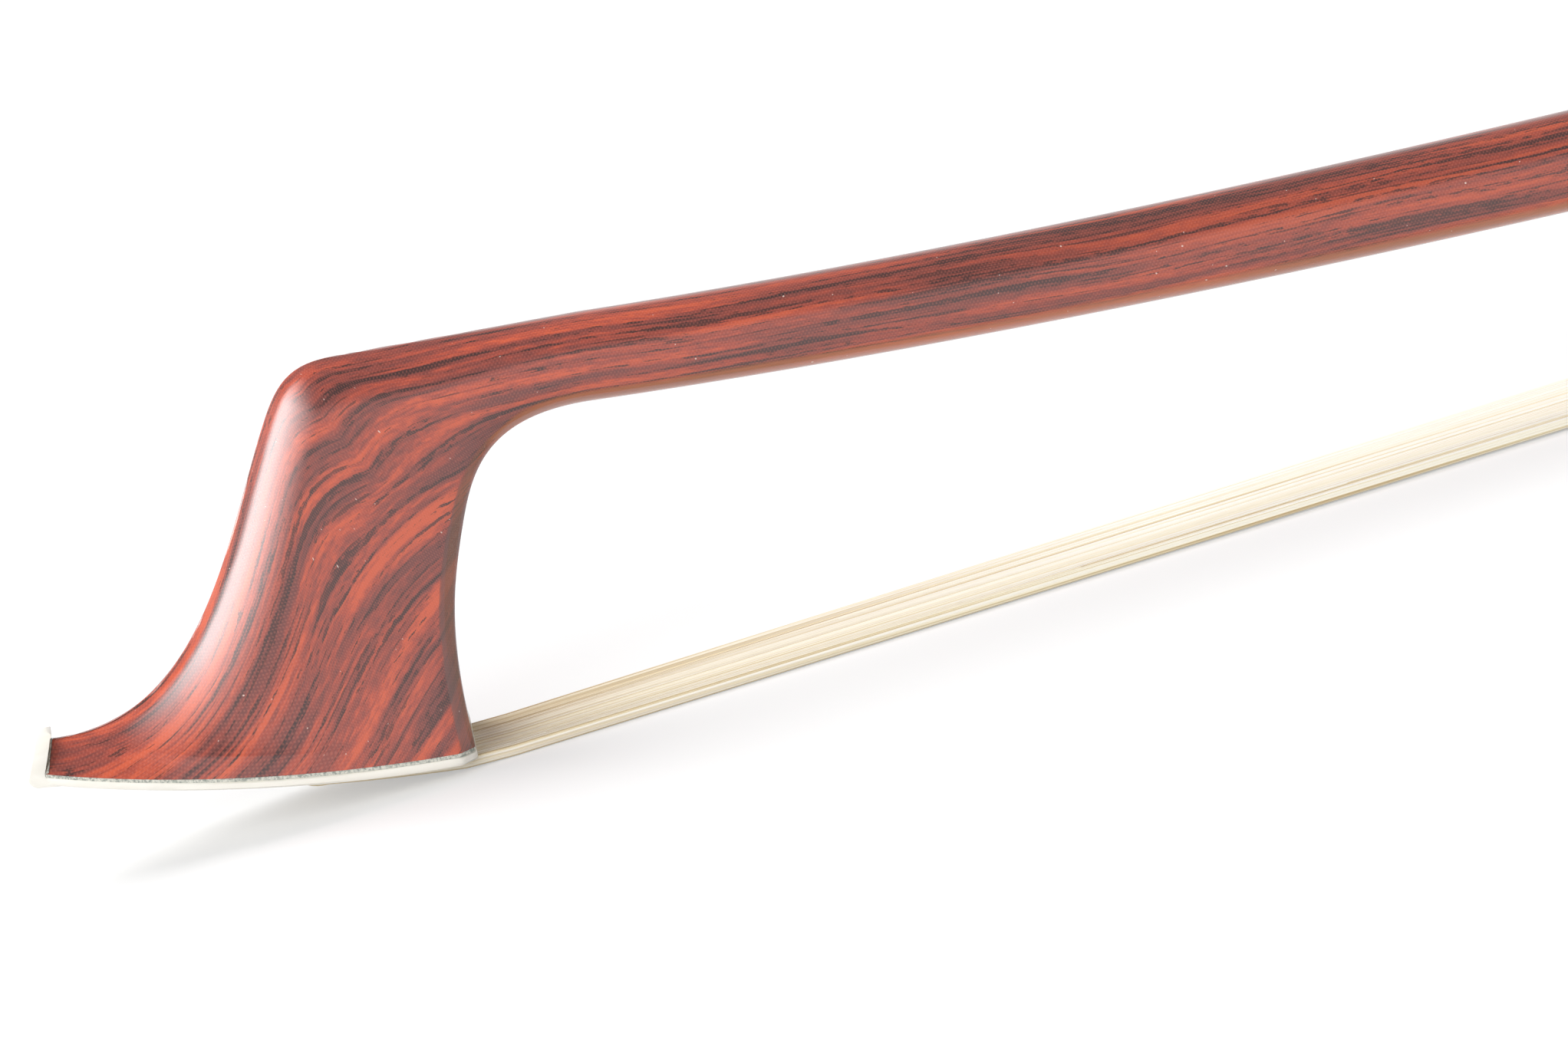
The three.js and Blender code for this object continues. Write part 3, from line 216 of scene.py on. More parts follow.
def linear(colour):
    """An sRGB hex colour as linear red, green, blue and alpha."""
    parts = [int(colour[i:i + 2], 16) / 255 for i in (1, 3, 5)]
    return (*[c / 12.92 if c <= 0.04045 else ((c + 0.055) / 1.055) ** 2.4 for c in parts], 1.0)


def add(tree, kind, inputs=(), out=0, stops=(), **settings):
    """Adds a node with its settings and links, and gives one of its outputs. An input is a value,
    a hex colour or another node's output, named or in its order. Stops are a ramp's colours."""
    made = tree.nodes.new("ShaderNode" + kind)
    for key, value in settings.items():
        setattr(made, key, value)
    if stops:
        elements = made.color_ramp.elements
        for _ in stops[2:]:
            elements.new(0.5)
        for element, (place, colour) in zip(elements, stops):
            element.position, element.color = place, linear(colour)
    for key, value in inputs.items() if isinstance(inputs, dict) else enumerate(inputs):
        if isinstance(value, bpy.types.NodeSocket):
            tree.links.new(value, made.inputs[key])
        else:
            made.inputs[key].default_value = linear(value) if isinstance(value, str) else value
    return made.outputs[out] if made.outputs else None


def finish(name, pattern=None, **surface):
    """A new material with a Principled shader: plain values on its sockets, and the inputs that
    its pattern works out. A normal is given as a height and what it is worth in millimetres."""
    made = bpy.data.materials.new(name)
    made.use_nodes = True
    made.node_tree.nodes.clear()
    new = partial(add, made.node_tree)
    inputs = {key.replace("_", " "): value for key, value in surface.items()}
    for key, value in (pattern(new) if pattern else {}).items():
        if key.endswith("Normal"):
            value = new("Bump", {"Height": value[0], "Distance": value[1] * MM})
        inputs[key] = value
    new("OutputMaterial", [new("BsdfPrincipled", inputs)])
    return made


def spread(new, source, steps, turn=0):
    """Coordinates with so many steps per millimetre along X, Y and Z. The source is a vector in
    millimetres, or names the piece's own "Object" or "UV" coordinates, which are in metres."""
    if isinstance(source, str):
        source, steps = new("TexCoord", (), source), [one / MM for one in steps]
    return new("Mapping", {"Vector": source, "Scale": steps, "Rotation": (0, 0, turn)})


def grain(new, source, steps, detail=3, roughness=0.55, distortion=0):
    """Noise drawn out along a piece, with so many cells per millimetre along X, Y and Z."""
    return new("TexNoise", {"Vector": spread(new, source, steps), "Scale": 1, "Detail": detail,
                            "Roughness": roughness, "Distortion": distortion})


def layered(new, ground, layers, blend="MIX"):
    """Colours laid over a ground one after the other, each by its own share."""
    for share, colour in layers:
        ground = new("Mix", {0: share, 6: ground, 7: colour}, 2, data_type="RGBA",
                     blend_type=blend)
    return ground


def banded(source, steps, stops, relief, detail=3, roughness=0.6, distortion=0):
    """A pattern of one grain, whose colours run through the stops, with its own relief."""
    def pattern(new):
        bands = grain(new, source, steps, detail, roughness, distortion)
        return {"Base Color": new("ValToRGB", [bands], stops=stops), "Normal": (bands, relief)}
    return pattern


def film(new):
    """Orange-red and brown bands with long thin dark streaks, the film's woven dots and a few
    dust specks. Faces turned down are painted a lighter orange-brown, a painted reflection of the
    white table, and faces turned to +X, as at the back of the head, are painted grey-brown as
    painted haze and shade."""
    flat = spread(new, "UV", (1, 1, 1))
    drift = new("TexNoise", {"Vector": spread(new, flat, (0.05, 0.07, 1)), "Scale": 1,
                             "Detail": 1}, "Color")
    waved = new("VectorMath", (drift, (0, 1.5, 0), flat), operation="MULTIPLY_ADD")
    tooth = grain(new, waved, (0.75, 5.0, 1), 3, 0.7)
    bands = grain(new, waved, (0.030, 0.70, 1), 3, 0.6)
    toned = new("Math", (tooth, 0.45, bands), operation="MULTIPLY_ADD")
    ground = new("ValToRGB", [toned], stops=[
        (0.60, "#733c38"), (0.69, "#92443a"), (0.76, "#b24d3b"), (0.85, "#d25c3c")])
    # The top of the stick behind the head is painted darker, with more dark streaks there: painted
    # shade.
    along, off_top = (new("SeparateXYZ", [flat], axis) for axis in "XY")
    off_top = new("Math", [off_top], operation="ABSOLUTE")
    painted_top_shade = new("Math", (new("MapRange", (along, 0, 30)), new("MapRange", (off_top, 7.5, 3.5))),
                   operation="MULTIPLY")
    layers = [(new("Math", (painted_top_shade, 0.35), operation="MULTIPLY"), "#7c3a2c")]
    more = new("Math", (painted_top_shade, 0.05, new("MapRange", (bands, 0.40, 0.60, 0.045, -0.03))),
               operation="MULTIPLY_ADD")
    more = new("Math", (more, new("MapRange", (tooth, 0.3, 0.7, -0.14, 0.13))), operation="ADD")
    for steps, low, share in (((0.045, 2.2, 1), 0.595, 0.85), ((0.10, 4.4, 1), 0.61, 0.75)):
        lines = new("Math", (grain(new, waved, steps, 1.5, 0.5), more), operation="ADD")
        layers.append((new("MapRange", (lines, low, low + 0.06, 0, share)), "#3a2727"))
    # The woven dots are 0.2 mm apart and crossed at 60 degrees.
    threads = [new("TexWave", {"Vector": spread(new, "UV", (5, 5, 1), turn), "Scale": WAVE,
                               "Distortion": 1.2, "Detail": 1}, "Fac") for turn in (0.55, -0.55)]
    weave = new("Math", threads, operation="MULTIPLY")
    # Painted light: faces turned down get a lighter orange-brown, a painted reflection of the white
    # table; faces turned to +X get grey-brown, painted haze and shade.
    back, under = (new("SeparateXYZ", [new("TexCoord", (), "Normal")], axis) for axis in "XZ")
    painted_table_reflection = new("Math", (bands, 0.3, under), operation="MULTIPLY_ADD")
    specks = grain(new, "UV", (3.6, 3.6, 1), 0, 0.5)
    layers += [(new("Math", (weave, 0.22), operation="MULTIPLY"), "#dd7f68"),
               (new("MapRange", (painted_table_reflection, -0.42, -0.52, 0, 0.75)), "#b5653f"),
               (new("MapRange", (back, 0.42, 0.60, 0, 0.7)), "#7d564f"),
               (new("MapRange", (specks, 0.862, 0.885, 0, 0.8)), "#ecd4c8")]
    # The lacquer lies in long shallow waves of a few hundredths of a millimetre.
    return {"Base Color": layered(new, ground, layers), "Normal": (weave, 0.006),
            "Coat Normal": (grain(new, "Object", (0.12, 0.35, 0.35), 1, 0.4), 0.02)}


def sawn(new):
    """Faint long bands, with a fine even tooth."""
    bands = grain(new, "Object", (0.08, 1.1, 1.1), 3, 0.5)
    return {"Base Color": new("ValToRGB", [bands], stops=[(0.35, "#f6f2e7"), (0.65, "#fcf9f0")]),
            "Normal": (grain(new, "Object", (2, 2, 2), 2), 0.003)}


def combed(new):
    """Cream hairs about 0.2 mm wide, darker and lighter in locks of about 1 mm, with tan ones
    near the head, where they are yellower: partly resin and the knot's wax, partly painted
    shade cast by the head, and most of all on the +Y side, where it is painted shade."""
    single = grain(new, "UV", (0.010, 5.2, 1), 2, 0.6)
    locks = grain(new, "UV", (0.006, 0.9, 1), 2, 0.55)
    toned = new("Math", (single, 0.62, new("Math", (locks, 0.38), operation="MULTIPLY")),
                operation="MULTIPLY_ADD")
    colour = new("ValToRGB", [toned], stops=[
        (0.36, "#c6ab7f"), (0.42, "#ecdeba"), (0.48, "#f9f3e0"), (0.55, "#fefbf2"),
        (0.66, "#fffefa")])
    run = new("SeparateXYZ", [spread(new, "UV", (1, 1, 1))], "X")
    across = new("SeparateXYZ", [spread(new, "Object", (1, 1, 1))], "Y")
    # Painted shade: near the head, and more on the +Y side, the hairs are tinted yellower and tan;
    # near the head this is partly resin and wax as well.
    waxed = new("Math", (new("MapRange", (run, 60, 18)),
                         new("MapRange", (across, -2, 2.5, 0.4, 1))), operation="MULTIPLY")
    yellowing_and_shade = new("Math", (waxed, 0.45), operation="MULTIPLY")
    tan = new("MapRange", (grain(new, "UV", (0.02, 3.4, 1), 2, 0.6), 0.47, 0.60, 0, 0.85))
    tan = new("Math", (tan, waxed), operation="MULTIPLY")
    colour = layered(new, colour, [(yellowing_and_shade, "#efd9ac")], "MULTIPLY")
    return {"Base Color": layered(new, colour, [(tan, "#b3925f")]),
            "Normal": (grain(new, "UV", (0.05, 9, 1), 2), 0.006)}


def wound(new):
    """Turns of thread 0.35 mm apart across the knot, painted darker in the grooves between them as
    painted shade.
    """
    turns = new("TexWave", {"Vector": spread(new, "Object", (1, 2.86, 1)), "Scale": WAVE,
                            "Distortion": 1}, "Fac", bands_direction="Y")
    return {"Base Color": new("ValToRGB", [turns], stops=[(0.2, "#8f8466"), (0.8, "#d6cdb3")]),
            "Normal": (turns, 0.08)}


def pressed(new):
    """Cells about 0.5 mm wide between fine creases, which are painted dark as painted shade, worn
    paler in places.
    """
    cells = new("TexVoronoi", {"Vector": spread(new, "Object", (1.9, 1.9, 1.9)), "Scale": 1},
                feature="DISTANCE_TO_EDGE")
    creases = new("MapRange", (cells, 0, 0.16))
    worn = new("ValToRGB", [grain(new, "Object", (0.15, 0.15, 0.15), 3, 0.6)],
               stops=[(0.3, "#241c19"), (0.7, "#3a2e28")])
    return {"Base Color": layered(new, "#171210", [(creases, worn)]), "Normal": (creases, 0.05)}


def pored(new):
    """Near black, with brown lines and open pores along it."""
    lines = new("ValToRGB", [grain(new, "Object", (0.10, 1.3, 1.3), 4, 0.6, 0.3)],
                stops=[(0.35, "#0f0c0b"), (0.6, "#1b1411"), (0.75, "#2a1f19")])
    pores = new("MapRange", (grain(new, "Object", (0.35, 6, 6), 1), 0.60, 0.70))
    return {"Base Color": layered(new, lines, [(pores, "#0b0908")]),
            "Normal": (new("Math", (1, pores), operation="SUBTRACT"), 0.02)}


def buffed(new):
    """Soft smudges, duller where they are pale, and hair scratches along the bow."""
    smudges = grain(new, "Object", (0.25, 0.25, 0.25), 3, 0.6)
    return {"Base Color": new("ValToRGB", [smudges], stops=[(0.35, "#bfbdb7"), (0.65, "#cecdc8")]),
            "Roughness": new("MapRange", (smudges, 0.3, 0.7, 0.16, 0.24)),
            "Normal": (grain(new, "Object", (0.35, 9, 9), 2, 0.6), 0.004)}


def filed(new):
    """Grey-green with pale specks."""
    specks = grain(new, "Object", (5, 5, 5), 2, 0.7)
    return {"Base Color": new("ValToRGB", [specks], stops=[
        (0.36, "#8f958d"), (0.46, "#b9bbb1"), (0.60, "#dedcd1")])}


TOOL_RINGS = "Object", (6, 0.05, 0.05)
FINISHES = {
    # Wood-grain film over carbon fibre, under a thick clear lacquer: a deep gloss.
    "stick": finish("wood_grain_film_lacquered", film, Specular_IOR_Level=0.0, Coat_Weight=1.0,
                    Coat_Roughness=0.14, Coat_IOR=1.7),
    # Ivory-white synthetic, sawn and polished: nearly plain.
    "plate": finish("ivory_synthetic_polished", sawn, Roughness=0.28),
    # Vulcanised fibre, filed flush with the wood: dull and speckled.
    "liner": finish("vulcanised_fibre_filed", filed, Roughness=0.6),
    # Bleached horsehair, combed flat: glossy along each hair.
    "hair": finish("horsehair_bleached", combed, Roughness=0.42, IOR=1.55),
    # Linen thread, waxed and wound tight: dull, in close turns.
    "thread": finish("linen_thread_waxed", wound, Roughness=0.8),
    # Bare poplar, knife-cut: pale, with fine open grain across the bow.
    "plug": finish("poplar_knife_cut", banded(
        "Object", (2.4, 0.2, 2.4), [(0.35, "#a98457"), (0.65, "#d3b384")], 0.02, 4),
        Roughness=0.75),
    # Smooth goat leather, dyed dark and pressed: a soft sheen over fine creases.
    "leather": finish("goat_leather_dyed", pressed, IOR=1.45, Coat_Weight=0.25,
                      Coat_Roughness=0.35),
    # Synthetic whalebone strip, drawn flat: pale horn colour with long faint fibres.
    "lapping": finish("synthetic_whalebone_drawn", banded(
        "UV", (2.6, 0.10, 1), [(0.35, "#b9b09a"), (0.5, "#d8d2c2"), (0.65, "#e9e5d9")], 0.015),
        Roughness=0.32, Coat_Weight=0.3, Coat_Roughness=0.2),
    # Ebony, scraped and oil-polished: a low, deep shine.
    "ebony": finish("ebony_oil_polished", pored, Roughness=0.36, IOR=1.45, Coat_Weight=0.2,
                    Coat_Roughness=0.12),
    # Nickel silver, filed, rubbed and buffed along the bow: bright, with hair scratches.
    "silver": finish("nickel_silver_buffed", buffed, Metallic=1.0),
    # Mother-of-pearl, ground flat and polished: soft clouds of rose, green and silver.
    "pearl": finish("mother_of_pearl_polished", banded(
        "Object", (0.07, 0.13, 0.26), [(0.28, "#dde4e0"), (0.42, "#f0eee9"), (0.54, "#eee8e6"),
                                       (0.64, "#f4f4f0"), (0.76, "#e1e9e6")], 0.01, 1, 0.4, 0.3),
        Roughness=0.14, IOR=1.53, Coat_Weight=0.6, Coat_Roughness=0.05),
    # Brass and steel, turned: fine tool rings across the bow's length.
    "brass": finish("brass_turned", banded(
        *TOOL_RINGS, [(0.35, "#a17d36"), (0.65, "#c9a350")], 0.006, 2), Metallic=1.0,
        Roughness=0.3),
    "steel": finish("steel_turned", banded(
        *TOOL_RINGS, [(0.35, "#85888b"), (0.65, "#a9acaf")], 0.006, 2), Metallic=1.0,
        Roughness=0.3),
}


# ---------------------------------------------------------------- shaping

def mix(first, second, share):
    return first + (np.asarray(second) - first) * np.asarray(share)


def smooth_step(value, low, high):
    share = np.clip((value - low) / (high - low), 0, 1)
    return share * share * (3 - 2 * share)


def bezier(a, b, c, d, count):
    """A cubic curve: each point is the blend of the four given ones at even parameters."""
    t = np.linspace(0, 1, count)[:, None]
    a, b, c, d = (np.asarray(p, float) for p in (a, b, c, d))
    return (1 - t) ** 3 * a + 3 * (1 - t) ** 2 * t * b + 3 * (1 - t) * t ** 2 * c + t ** 3 * d


def lengths(line):
    """The length run along a polyline up to each of its points."""
    return np.concatenate([[0], np.cumsum(np.linalg.norm(np.diff(line, axis=0), axis=1))])


def at_length(line, shares):
    """The points at shares of a polyline's length."""
    run = lengths(line)
    return np.stack([np.interp(np.asarray(shares) * run[-1], run, column)
                     for column in line.T], -1)


def joined_line(*parts):
    return np.concatenate([parts[0], *[part[1:] for part in parts[1:]]])


def columns_of(*parts):
    """Numbers or arrays side by side, as the last axis of one array."""
    return np.stack(np.broadcast_arrays(*parts), -1)


def unit(ways):
    return ways / np.linalg.norm(ways, axis=-1, keepdims=True)


def in_row(points):
    """From the bow's frame in millimetres to the row's frame in metres."""
    return (np.asarray(points, float) + [ROW_SHIFT, 0, 0]) * MM


def from_handle(points):
    """From the handle's frame to the bow's: turned up by the handle's tilt at the ferrule."""
    x, y, z = np.moveaxis(np.asarray(points, float), -1, 0)
    cos, sin = math.cos(HANDLE_TILT), math.sin(HANDLE_TILT)
    return np.stack([HAIR_LENGTH + x * cos - z * sin, y, x * sin + z * cos], -1)


def handle_in_row(points):
    return in_row(from_handle(points))


def about_handle(x, radius, turn):
    """Points round the handle's axis: straight down at turn 0, towards +Y at a quarter."""
    return columns_of(x, radius * np.sin(turn), AXIS_HEIGHT - radius * np.cos(turn))


def ring_quads(rows, columns, closed_rows=False):
    """The faces between neighbouring rings of `columns` points."""
    rings = rows if closed_rows else rows - 1
    k, i = np.meshgrid(np.arange(rings), np.arange(columns), indexing="ij")
    ahead, beside = (k + 1) % rows, (i + 1) % columns
    return np.stack([k * columns + i, k * columns + beside, ahead * columns + beside,
                     ahead * columns + i], -1).reshape(-1, 4)


def end_strips(first, columns):
    """An end face in strips between a ring's right half and its mirrored left half."""
    i = np.arange(columns // 2)
    faces = np.stack([first + i, first + i + 1, first + columns - i - 1,
                      first + (columns - i) % columns], -1)
    return [list(dict.fromkeys(face)) for face in faces.tolist()]


def outward(mesh):
    """Merges doubled points and turns every face of a closed mesh outwards."""
    work = bmesh.new()
    work.from_mesh(mesh)
    bmesh.ops.remove_doubles(work, verts=work.verts, dist=1e-8)
    bmesh.ops.recalc_face_normals(work, faces=work.faces)
    work.to_mesh(mesh)
    work.free()


def sharpened(mesh, angle):
    """Shades a mesh smooth, but for the edges that are sharper than an angle."""
    mesh.shade_smooth()
    mesh.set_sharp_from_angle(angle=math.radians(angle))


def placed(name, data):
    made = bpy.data.objects.new(name, data)
    bpy.context.scene.collection.objects.link(made)
    return made


def solid(name, points, faces, uv=None, sharp=35):
    """A closed mesh object from points in the row's frame. uv has a pair for each face corner."""
    mesh = bpy.data.meshes.new(name)
    mesh.from_pydata(points.reshape(-1, 3).tolist(), [], faces)
    if uv is not None:
        mesh.uv_layers.new(name="film").data.foreach_set("uv", np.asarray(uv, np.float32).ravel())
    outward(mesh)
    sharpened(mesh, sharp)
    return placed(name, mesh)


def lofted(name, rings, frame_of=handle_in_row, uv=None, sharp=35, ends="flat"):
    """A solid through rings of points (rows, columns, 3). Its ends are flat faces, or strips
    between a ring's mirrored halves, or they meet. uv is a grid of (rows, columns + 1) pairs in
    millimetres, so that it may jump where a ring meets itself."""
    rings = np.asarray(rings, float)
    rows, columns = rings.shape[:2]
    faces = ring_quads(rows, columns, ends == "meet").tolist()
    sides, corners = len(faces), None
    for first, step in () if ends == "meet" else ((0, 1), ((rows - 1) * columns, -1)):
        faces += (end_strips(first, columns) if ends == "strips"
                  else [list(range(first, first + columns))[::step]])
    if uv is not None:
        k, i = np.divmod(np.arange(sides), columns)
        quads = np.stack([uv[k, i], uv[k, i + 1], uv[k + 1, i + 1], uv[k + 1, i]], 1)
        caps = [uv[divmod(vertex, columns)] for face in faces[sides:] for vertex in face]
        corners = np.concatenate([quads.reshape(-1, 2), caps]) * MM
    return solid(name, frame_of(rings), faces, corners, sharp)


def prism(name, outline, low, high, axis, frame_of=handle_in_row, sharp=35):
    """An outline carried along an axis. For "x" it is in Y and Z, for "y" it is in X and Z."""
    rings = [np.insert(np.asarray(outline, float), "xyz".index(axis), end, 1)
             for end in (low, high)]
    return lofted(name, rings, frame_of, sharp=sharp)


def brick(name, low, high, frame_of=handle_in_row):
    outline = [(low[1], low[2]), (high[1], low[2]), (high[1], high[2]), (low[1], high[2])]
    return prism(name, outline, low[0], high[0], "x", frame_of)


def rod(name, centre, diameter, low, high, axis="x", sides=64):
    """A round rod: a circle about the centre's two coordinates, carried along the axis."""
    turn = np.linspace(0, 2 * np.pi, sides, endpoint=False)
    outline = columns_of(np.cos(turn), np.sin(turn)) * diameter / 2 + centre
    return prism(name, outline, low, high, axis)


def carved(piece, *tools, operation="DIFFERENCE"):
    """Cuts the tools out of the piece with exact booleans, after its other modifiers, and
    removes the tools."""
    for tool in tools:
        cut = piece.modifiers.new("cut", "BOOLEAN")
        cut.operation, cut.solver, cut.object = operation, "EXACT", tool
    bpy.context.view_layer.update()
    piece.data = bpy.data.meshes.new_from_object(
        piece.evaluated_get(bpy.context.evaluated_depsgraph_get()))
    piece.modifiers.clear()
    for tool in tools:
        bpy.data.objects.remove(tool)
    return piece


def dressed(piece, slot, body, *replaced, sharp=None):
    """Gives a piece its finish and slot, lets it ride on a body, and hides what it replaces."""
    if sharp:
        piece.data.set_sharp_from_angle(angle=math.radians(sharp))
    piece.data.materials.clear()
    piece.data.materials.append(FINISHES[slot])
    if body:
        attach(piece, body)
    if replaced:
        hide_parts(*replaced)


# ---------------------------------------------------------------- head and stick

def plate_curve(share, rear_height):
    """The plate's curve: it rises by NOSE_RISE to the nose and sags by PLATE_SAG between."""
    share = np.asarray(share, float)
    return columns_of(-share * HEAD_REACH,
                      rear_height + NOSE_RISE * share - 4 * PLATE_SAG * share * (1 - share))


def of_head(*pairs):
    """Points of the head's side view, from shares of its reach and its height."""
    return np.array(pairs) * [-HEAD_REACH, HEAD_HEIGHT]


PLATE_REAR_Z = HAIR + GLUE_GAP
LINER_REAR_Z = PLATE_REAR_Z + PLATE
WOOD_REAR_Z = LINER_REAR_Z + LINER
neck_along = np.array([math.cos(NECK_DROP), -math.sin(NECK_DROP)])
neck_up = np.array([math.sin(NECK_DROP), math.cos(NECK_DROP)])
neck_top, neck_under = NECK + neck_up * NECK_RADIUS, NECK - neck_up * NECK_RADIUS
wood_rear, wood_front = plate_curve([0, 1], WOOD_REAR_Z)
beak_top = wood_front + [WOOD_END_LEAN, WOOD_END_HEIGHT]
nose_top = beak_top[1] + NOSE_STAND
ridge = of_head((0.601, 0.257), (0.421, 0.657), (0.248, 0.896))
crown = of_head((0.192, 0.974), (0.147, 1.009), (0.038, 0.992))
back = of_head((-0.014, 0.245), (-0.034, 0.382), (-0.147, 0.568))
ridge_line = bezier(beak_top, *ridge, 400)
front_line = joined_line(ridge_line, bezier(ridge[2], *crown, 200),
                         np.linspace(crown[2], neck_top, 60))
back_line = joined_line(
    bezier(wood_rear, *back, 300),
    bezier(back[2], back[2] + unit(back[2] - back[1]) * 3.6, neck_under - neck_along * 5.7,
           neck_under, 300))


def plate_half_width(share):
    """Half the plate's width: it narrows from the rear to the nose by a power of the share."""
    narrowing = (1 - np.clip(share, 0, 1) ** 2.2) ** 0.9
    return mix(PLATE_NOSE_WIDTH, PLATE_REAR_WIDTH, narrowing) / 2


# Stations round half a ring: 0 underneath, 16 on top. They crowd at the arrises of the head's
# back (2 and 3) and of the handle's eight flats (2, 6, 10 and 14), which rounds them a little.
HALF = 16
stations = np.unique(np.round(np.concatenate([
    np.linspace(0, 1.7, 4), [1.94, 2.09], np.linspace(2.35, 2.65, 2), [2.91, 3.06],
    np.linspace(3.4, 11, 20), np.linspace(11.25, 15, 17), np.linspace(15.12, 16, 8),
    [5.94, 6.06, 9.94, 10.06, 13.94, 14.06]]), 4))
half_turn = np.pi * stations / HALF
# The head's front falls away to the ridge over this many of its half widths.
FRONT_FALL = 1.3


def from_back(i, chord, front_depth):
    """How far a station lies from the head's back line: 0 on the back, then over the bevel and
    the cheek, then closer and closer to the ridge."""
    cheek = mix(BACK_BEVEL, chord - front_depth, (i - 3) / 8)
    front = chord - front_depth * (1 - np.clip((i - 11) / 5, 0, 1)) ** 1.5
    return np.select([i <= 2, i <= 3, i <= 11], [0 * chord, BACK_BEVEL * (i - 2), cheek], front)


def to_front_line(points):
    """The least distance from each point to the head's front line."""
    away = points.reshape(-1, 1, 2) - front_line[None, ::2]
    return np.linalg.norm(away, axis=-1).min(1).reshape(points.shape[:-1])


def head_half_rings(shares):
    """Half rings of the head: points between the back and the front line, as wide as the plate's
    flare, with a front that falls away to the ridge, and turning round towards the neck."""
    s, i = np.meshgrid(shares, stations, indexing="ij")
    front = at_length(front_line, shares)[:, None, :]
    rear = at_length(back_line, mix(0.03, 1, shares))[:, None, :]
    chord = np.linalg.norm(front - rear, axis=-1)
    flare = np.maximum(0, 1 - s / 0.68) ** 1.6
    roundness = smooth_step(s, 0.42, 1)
    sag = 4 * PLATE_SAG * np.maximum(0, 1 - s / 0.3)
    width_at = lambda part: mix(NECK_RADIUS, plate_half_width(part), flare)
    front_depth = np.minimum(FRONT_FALL * width_at(0.5), chord / 2)
    part = mix(from_back(i, chord, front_depth), chord * (1 - np.cos(half_turn)) / 2,
               roundness) / chord
    point = rear + (front - rear) * part[..., None]
    point[..., 1] -= sag * part * (1 - part)
    width = width_at(part)
    depth = np.minimum(to_front_line(point) / (FRONT_FALL * width), 1)
    fallen = width * (1 - (1 - depth) ** 2) ** 0.8
    under = width - BACK_BEVEL
    cheek = np.select([i <= 2, i < 3], [under * i / 2, mix(under, fallen, i - 2)], fallen)
    y = mix(cheek, NECK_RADIUS * np.sin(half_turn), roundness)
    y[:, -1] = 0
    return np.stack([point[..., 0], y, point[..., 1]], -1)


def plate_half_ring(rear_height):
    """Half a ring on the plate's curve: out along its rear, along its edge, in along its nose."""
    i = stations
    depth = FRONT_FALL * plate_half_width(0.5)
    share = from_back(np.minimum(i, 14), HEAD_REACH, depth) / HEAD_REACH
    share = mix(share, 1, np.clip(i - 14, 0, 1))
    half = plate_half_width(share)
    y = np.select([i <= 2, i <= 3, i <= 15],
                  [(half - BACK_BEVEL) * i / 2, half - BACK_BEVEL * (3 - i), half],
                  half * (16 - i))
    x, z = plate_curve(share, rear_height).T
    return np.stack([x, y, z], -1)


def whole_rings(halves):
    """Whole rings from right halves, mirrored in Y."""
    return np.concatenate([halves, halves[..., -2:0:-1, :] * [1, -1, 1]], axis=-2)


def stick_radius(x):
    share = np.clip((x - NECK[0]) / (round_end[0] - NECK[0]), 0, 1)
    return mix(NECK_RADIUS, ROUND_TO_FLATS * HANDLE_FLATS / 2, 1 - (1 - share) ** TAPER_POWER)


handle_front, round_end = from_handle(
    [[x, 0, AXIS_HEIGHT] for x in (HANDLE_FRONT_X, ROUND_END_X)])[:, [0, 2]]
handle_along = np.array([math.cos(HANDLE_TILT), math.sin(HANDLE_TILT)])
camber_low = np.array([CAMBER_LOW_X, HAIR + CAMBER_LOW_GAP + stick_radius(CAMBER_LOW_X)])
front_span, rear_span = camber_low[0] - NECK[0], handle_front[0] - camber_low[0]
camber_line = joined_line(
    bezier(NECK, NECK + neck_along * 0.324 * front_span, camber_low - [0.17 * front_span, 0],
           camber_low, 60),
    bezier(camber_low, camber_low + [0.36 * rear_span, 0],
           handle_front - handle_along * 0.42 * rear_span, handle_front, 60))


def camber_half_rings():
    """Half circles square to the cambered axis, with the stick's radius."""
    line = camber_line[:-1]
    along = np.gradient(camber_line, axis=0)[:-1]
    along[0] = neck_along
    along = unit(along)
    radius = stick_radius(line[:, 0])[:, None]
    up = -radius * np.cos(half_turn)
    y = radius * np.sin(half_turn)
    y[:, [0, -1]] = 0
    return np.stack([line[:, :1] - along[:, 1:] * up, y, line[:, 1:] + along[:, :1] * up], -1)


def handle_radius(x, turn):
    """The handle's radius: round in front, eight flats at the rear, and between the two."""
    flatness = np.clip((x - ROUND_END_X) / OCTAGON_RUNOUT, 0, 1)
    eighth = np.pi / 4
    flats = HANDLE_FLATS / 2 / np.cos(turn - eighth * np.round(turn / eighth))
    return mix(stick_radius(from_handle(columns_of(x, 0, AXIS_HEIGHT))[..., 0]), flats, flatness)


def handle_half_rings():
    """Half rings of the handle, its eased butt and the spigot behind it."""
    flats_x, body_end = ROUND_END_X + OCTAGON_RUNOUT, BUTT_X - BUTT_EASE
    x = np.concatenate([
        np.linspace(HANDLE_FRONT_X, ROUND_END_X, 12), np.linspace(ROUND_END_X, flats_x, 9)[1:],
        np.linspace(flats_x, body_end, 12)[1:]])[:, None]
    spigot, spigot_end = SPIGOT_DIAMETER / 2, BUTT_X + SPIGOT_LENGTH
    end = [(BUTT_X, handle_radius(BUTT_X, half_turn) - BUTT_EASE), (BUTT_X, spigot),
           (spigot_end - SPIGOT_EASE, spigot), (spigot_end, spigot - SPIGOT_EASE)]
    body = about_handle(x, handle_radius(x, half_turn), half_turn)
    tail = np.stack([about_handle(x, radius, half_turn) for x, radius in end])
    rings = from_handle(np.concatenate([body, tail]))
    rings[:, [0, -1], 1] = 0
    return rings


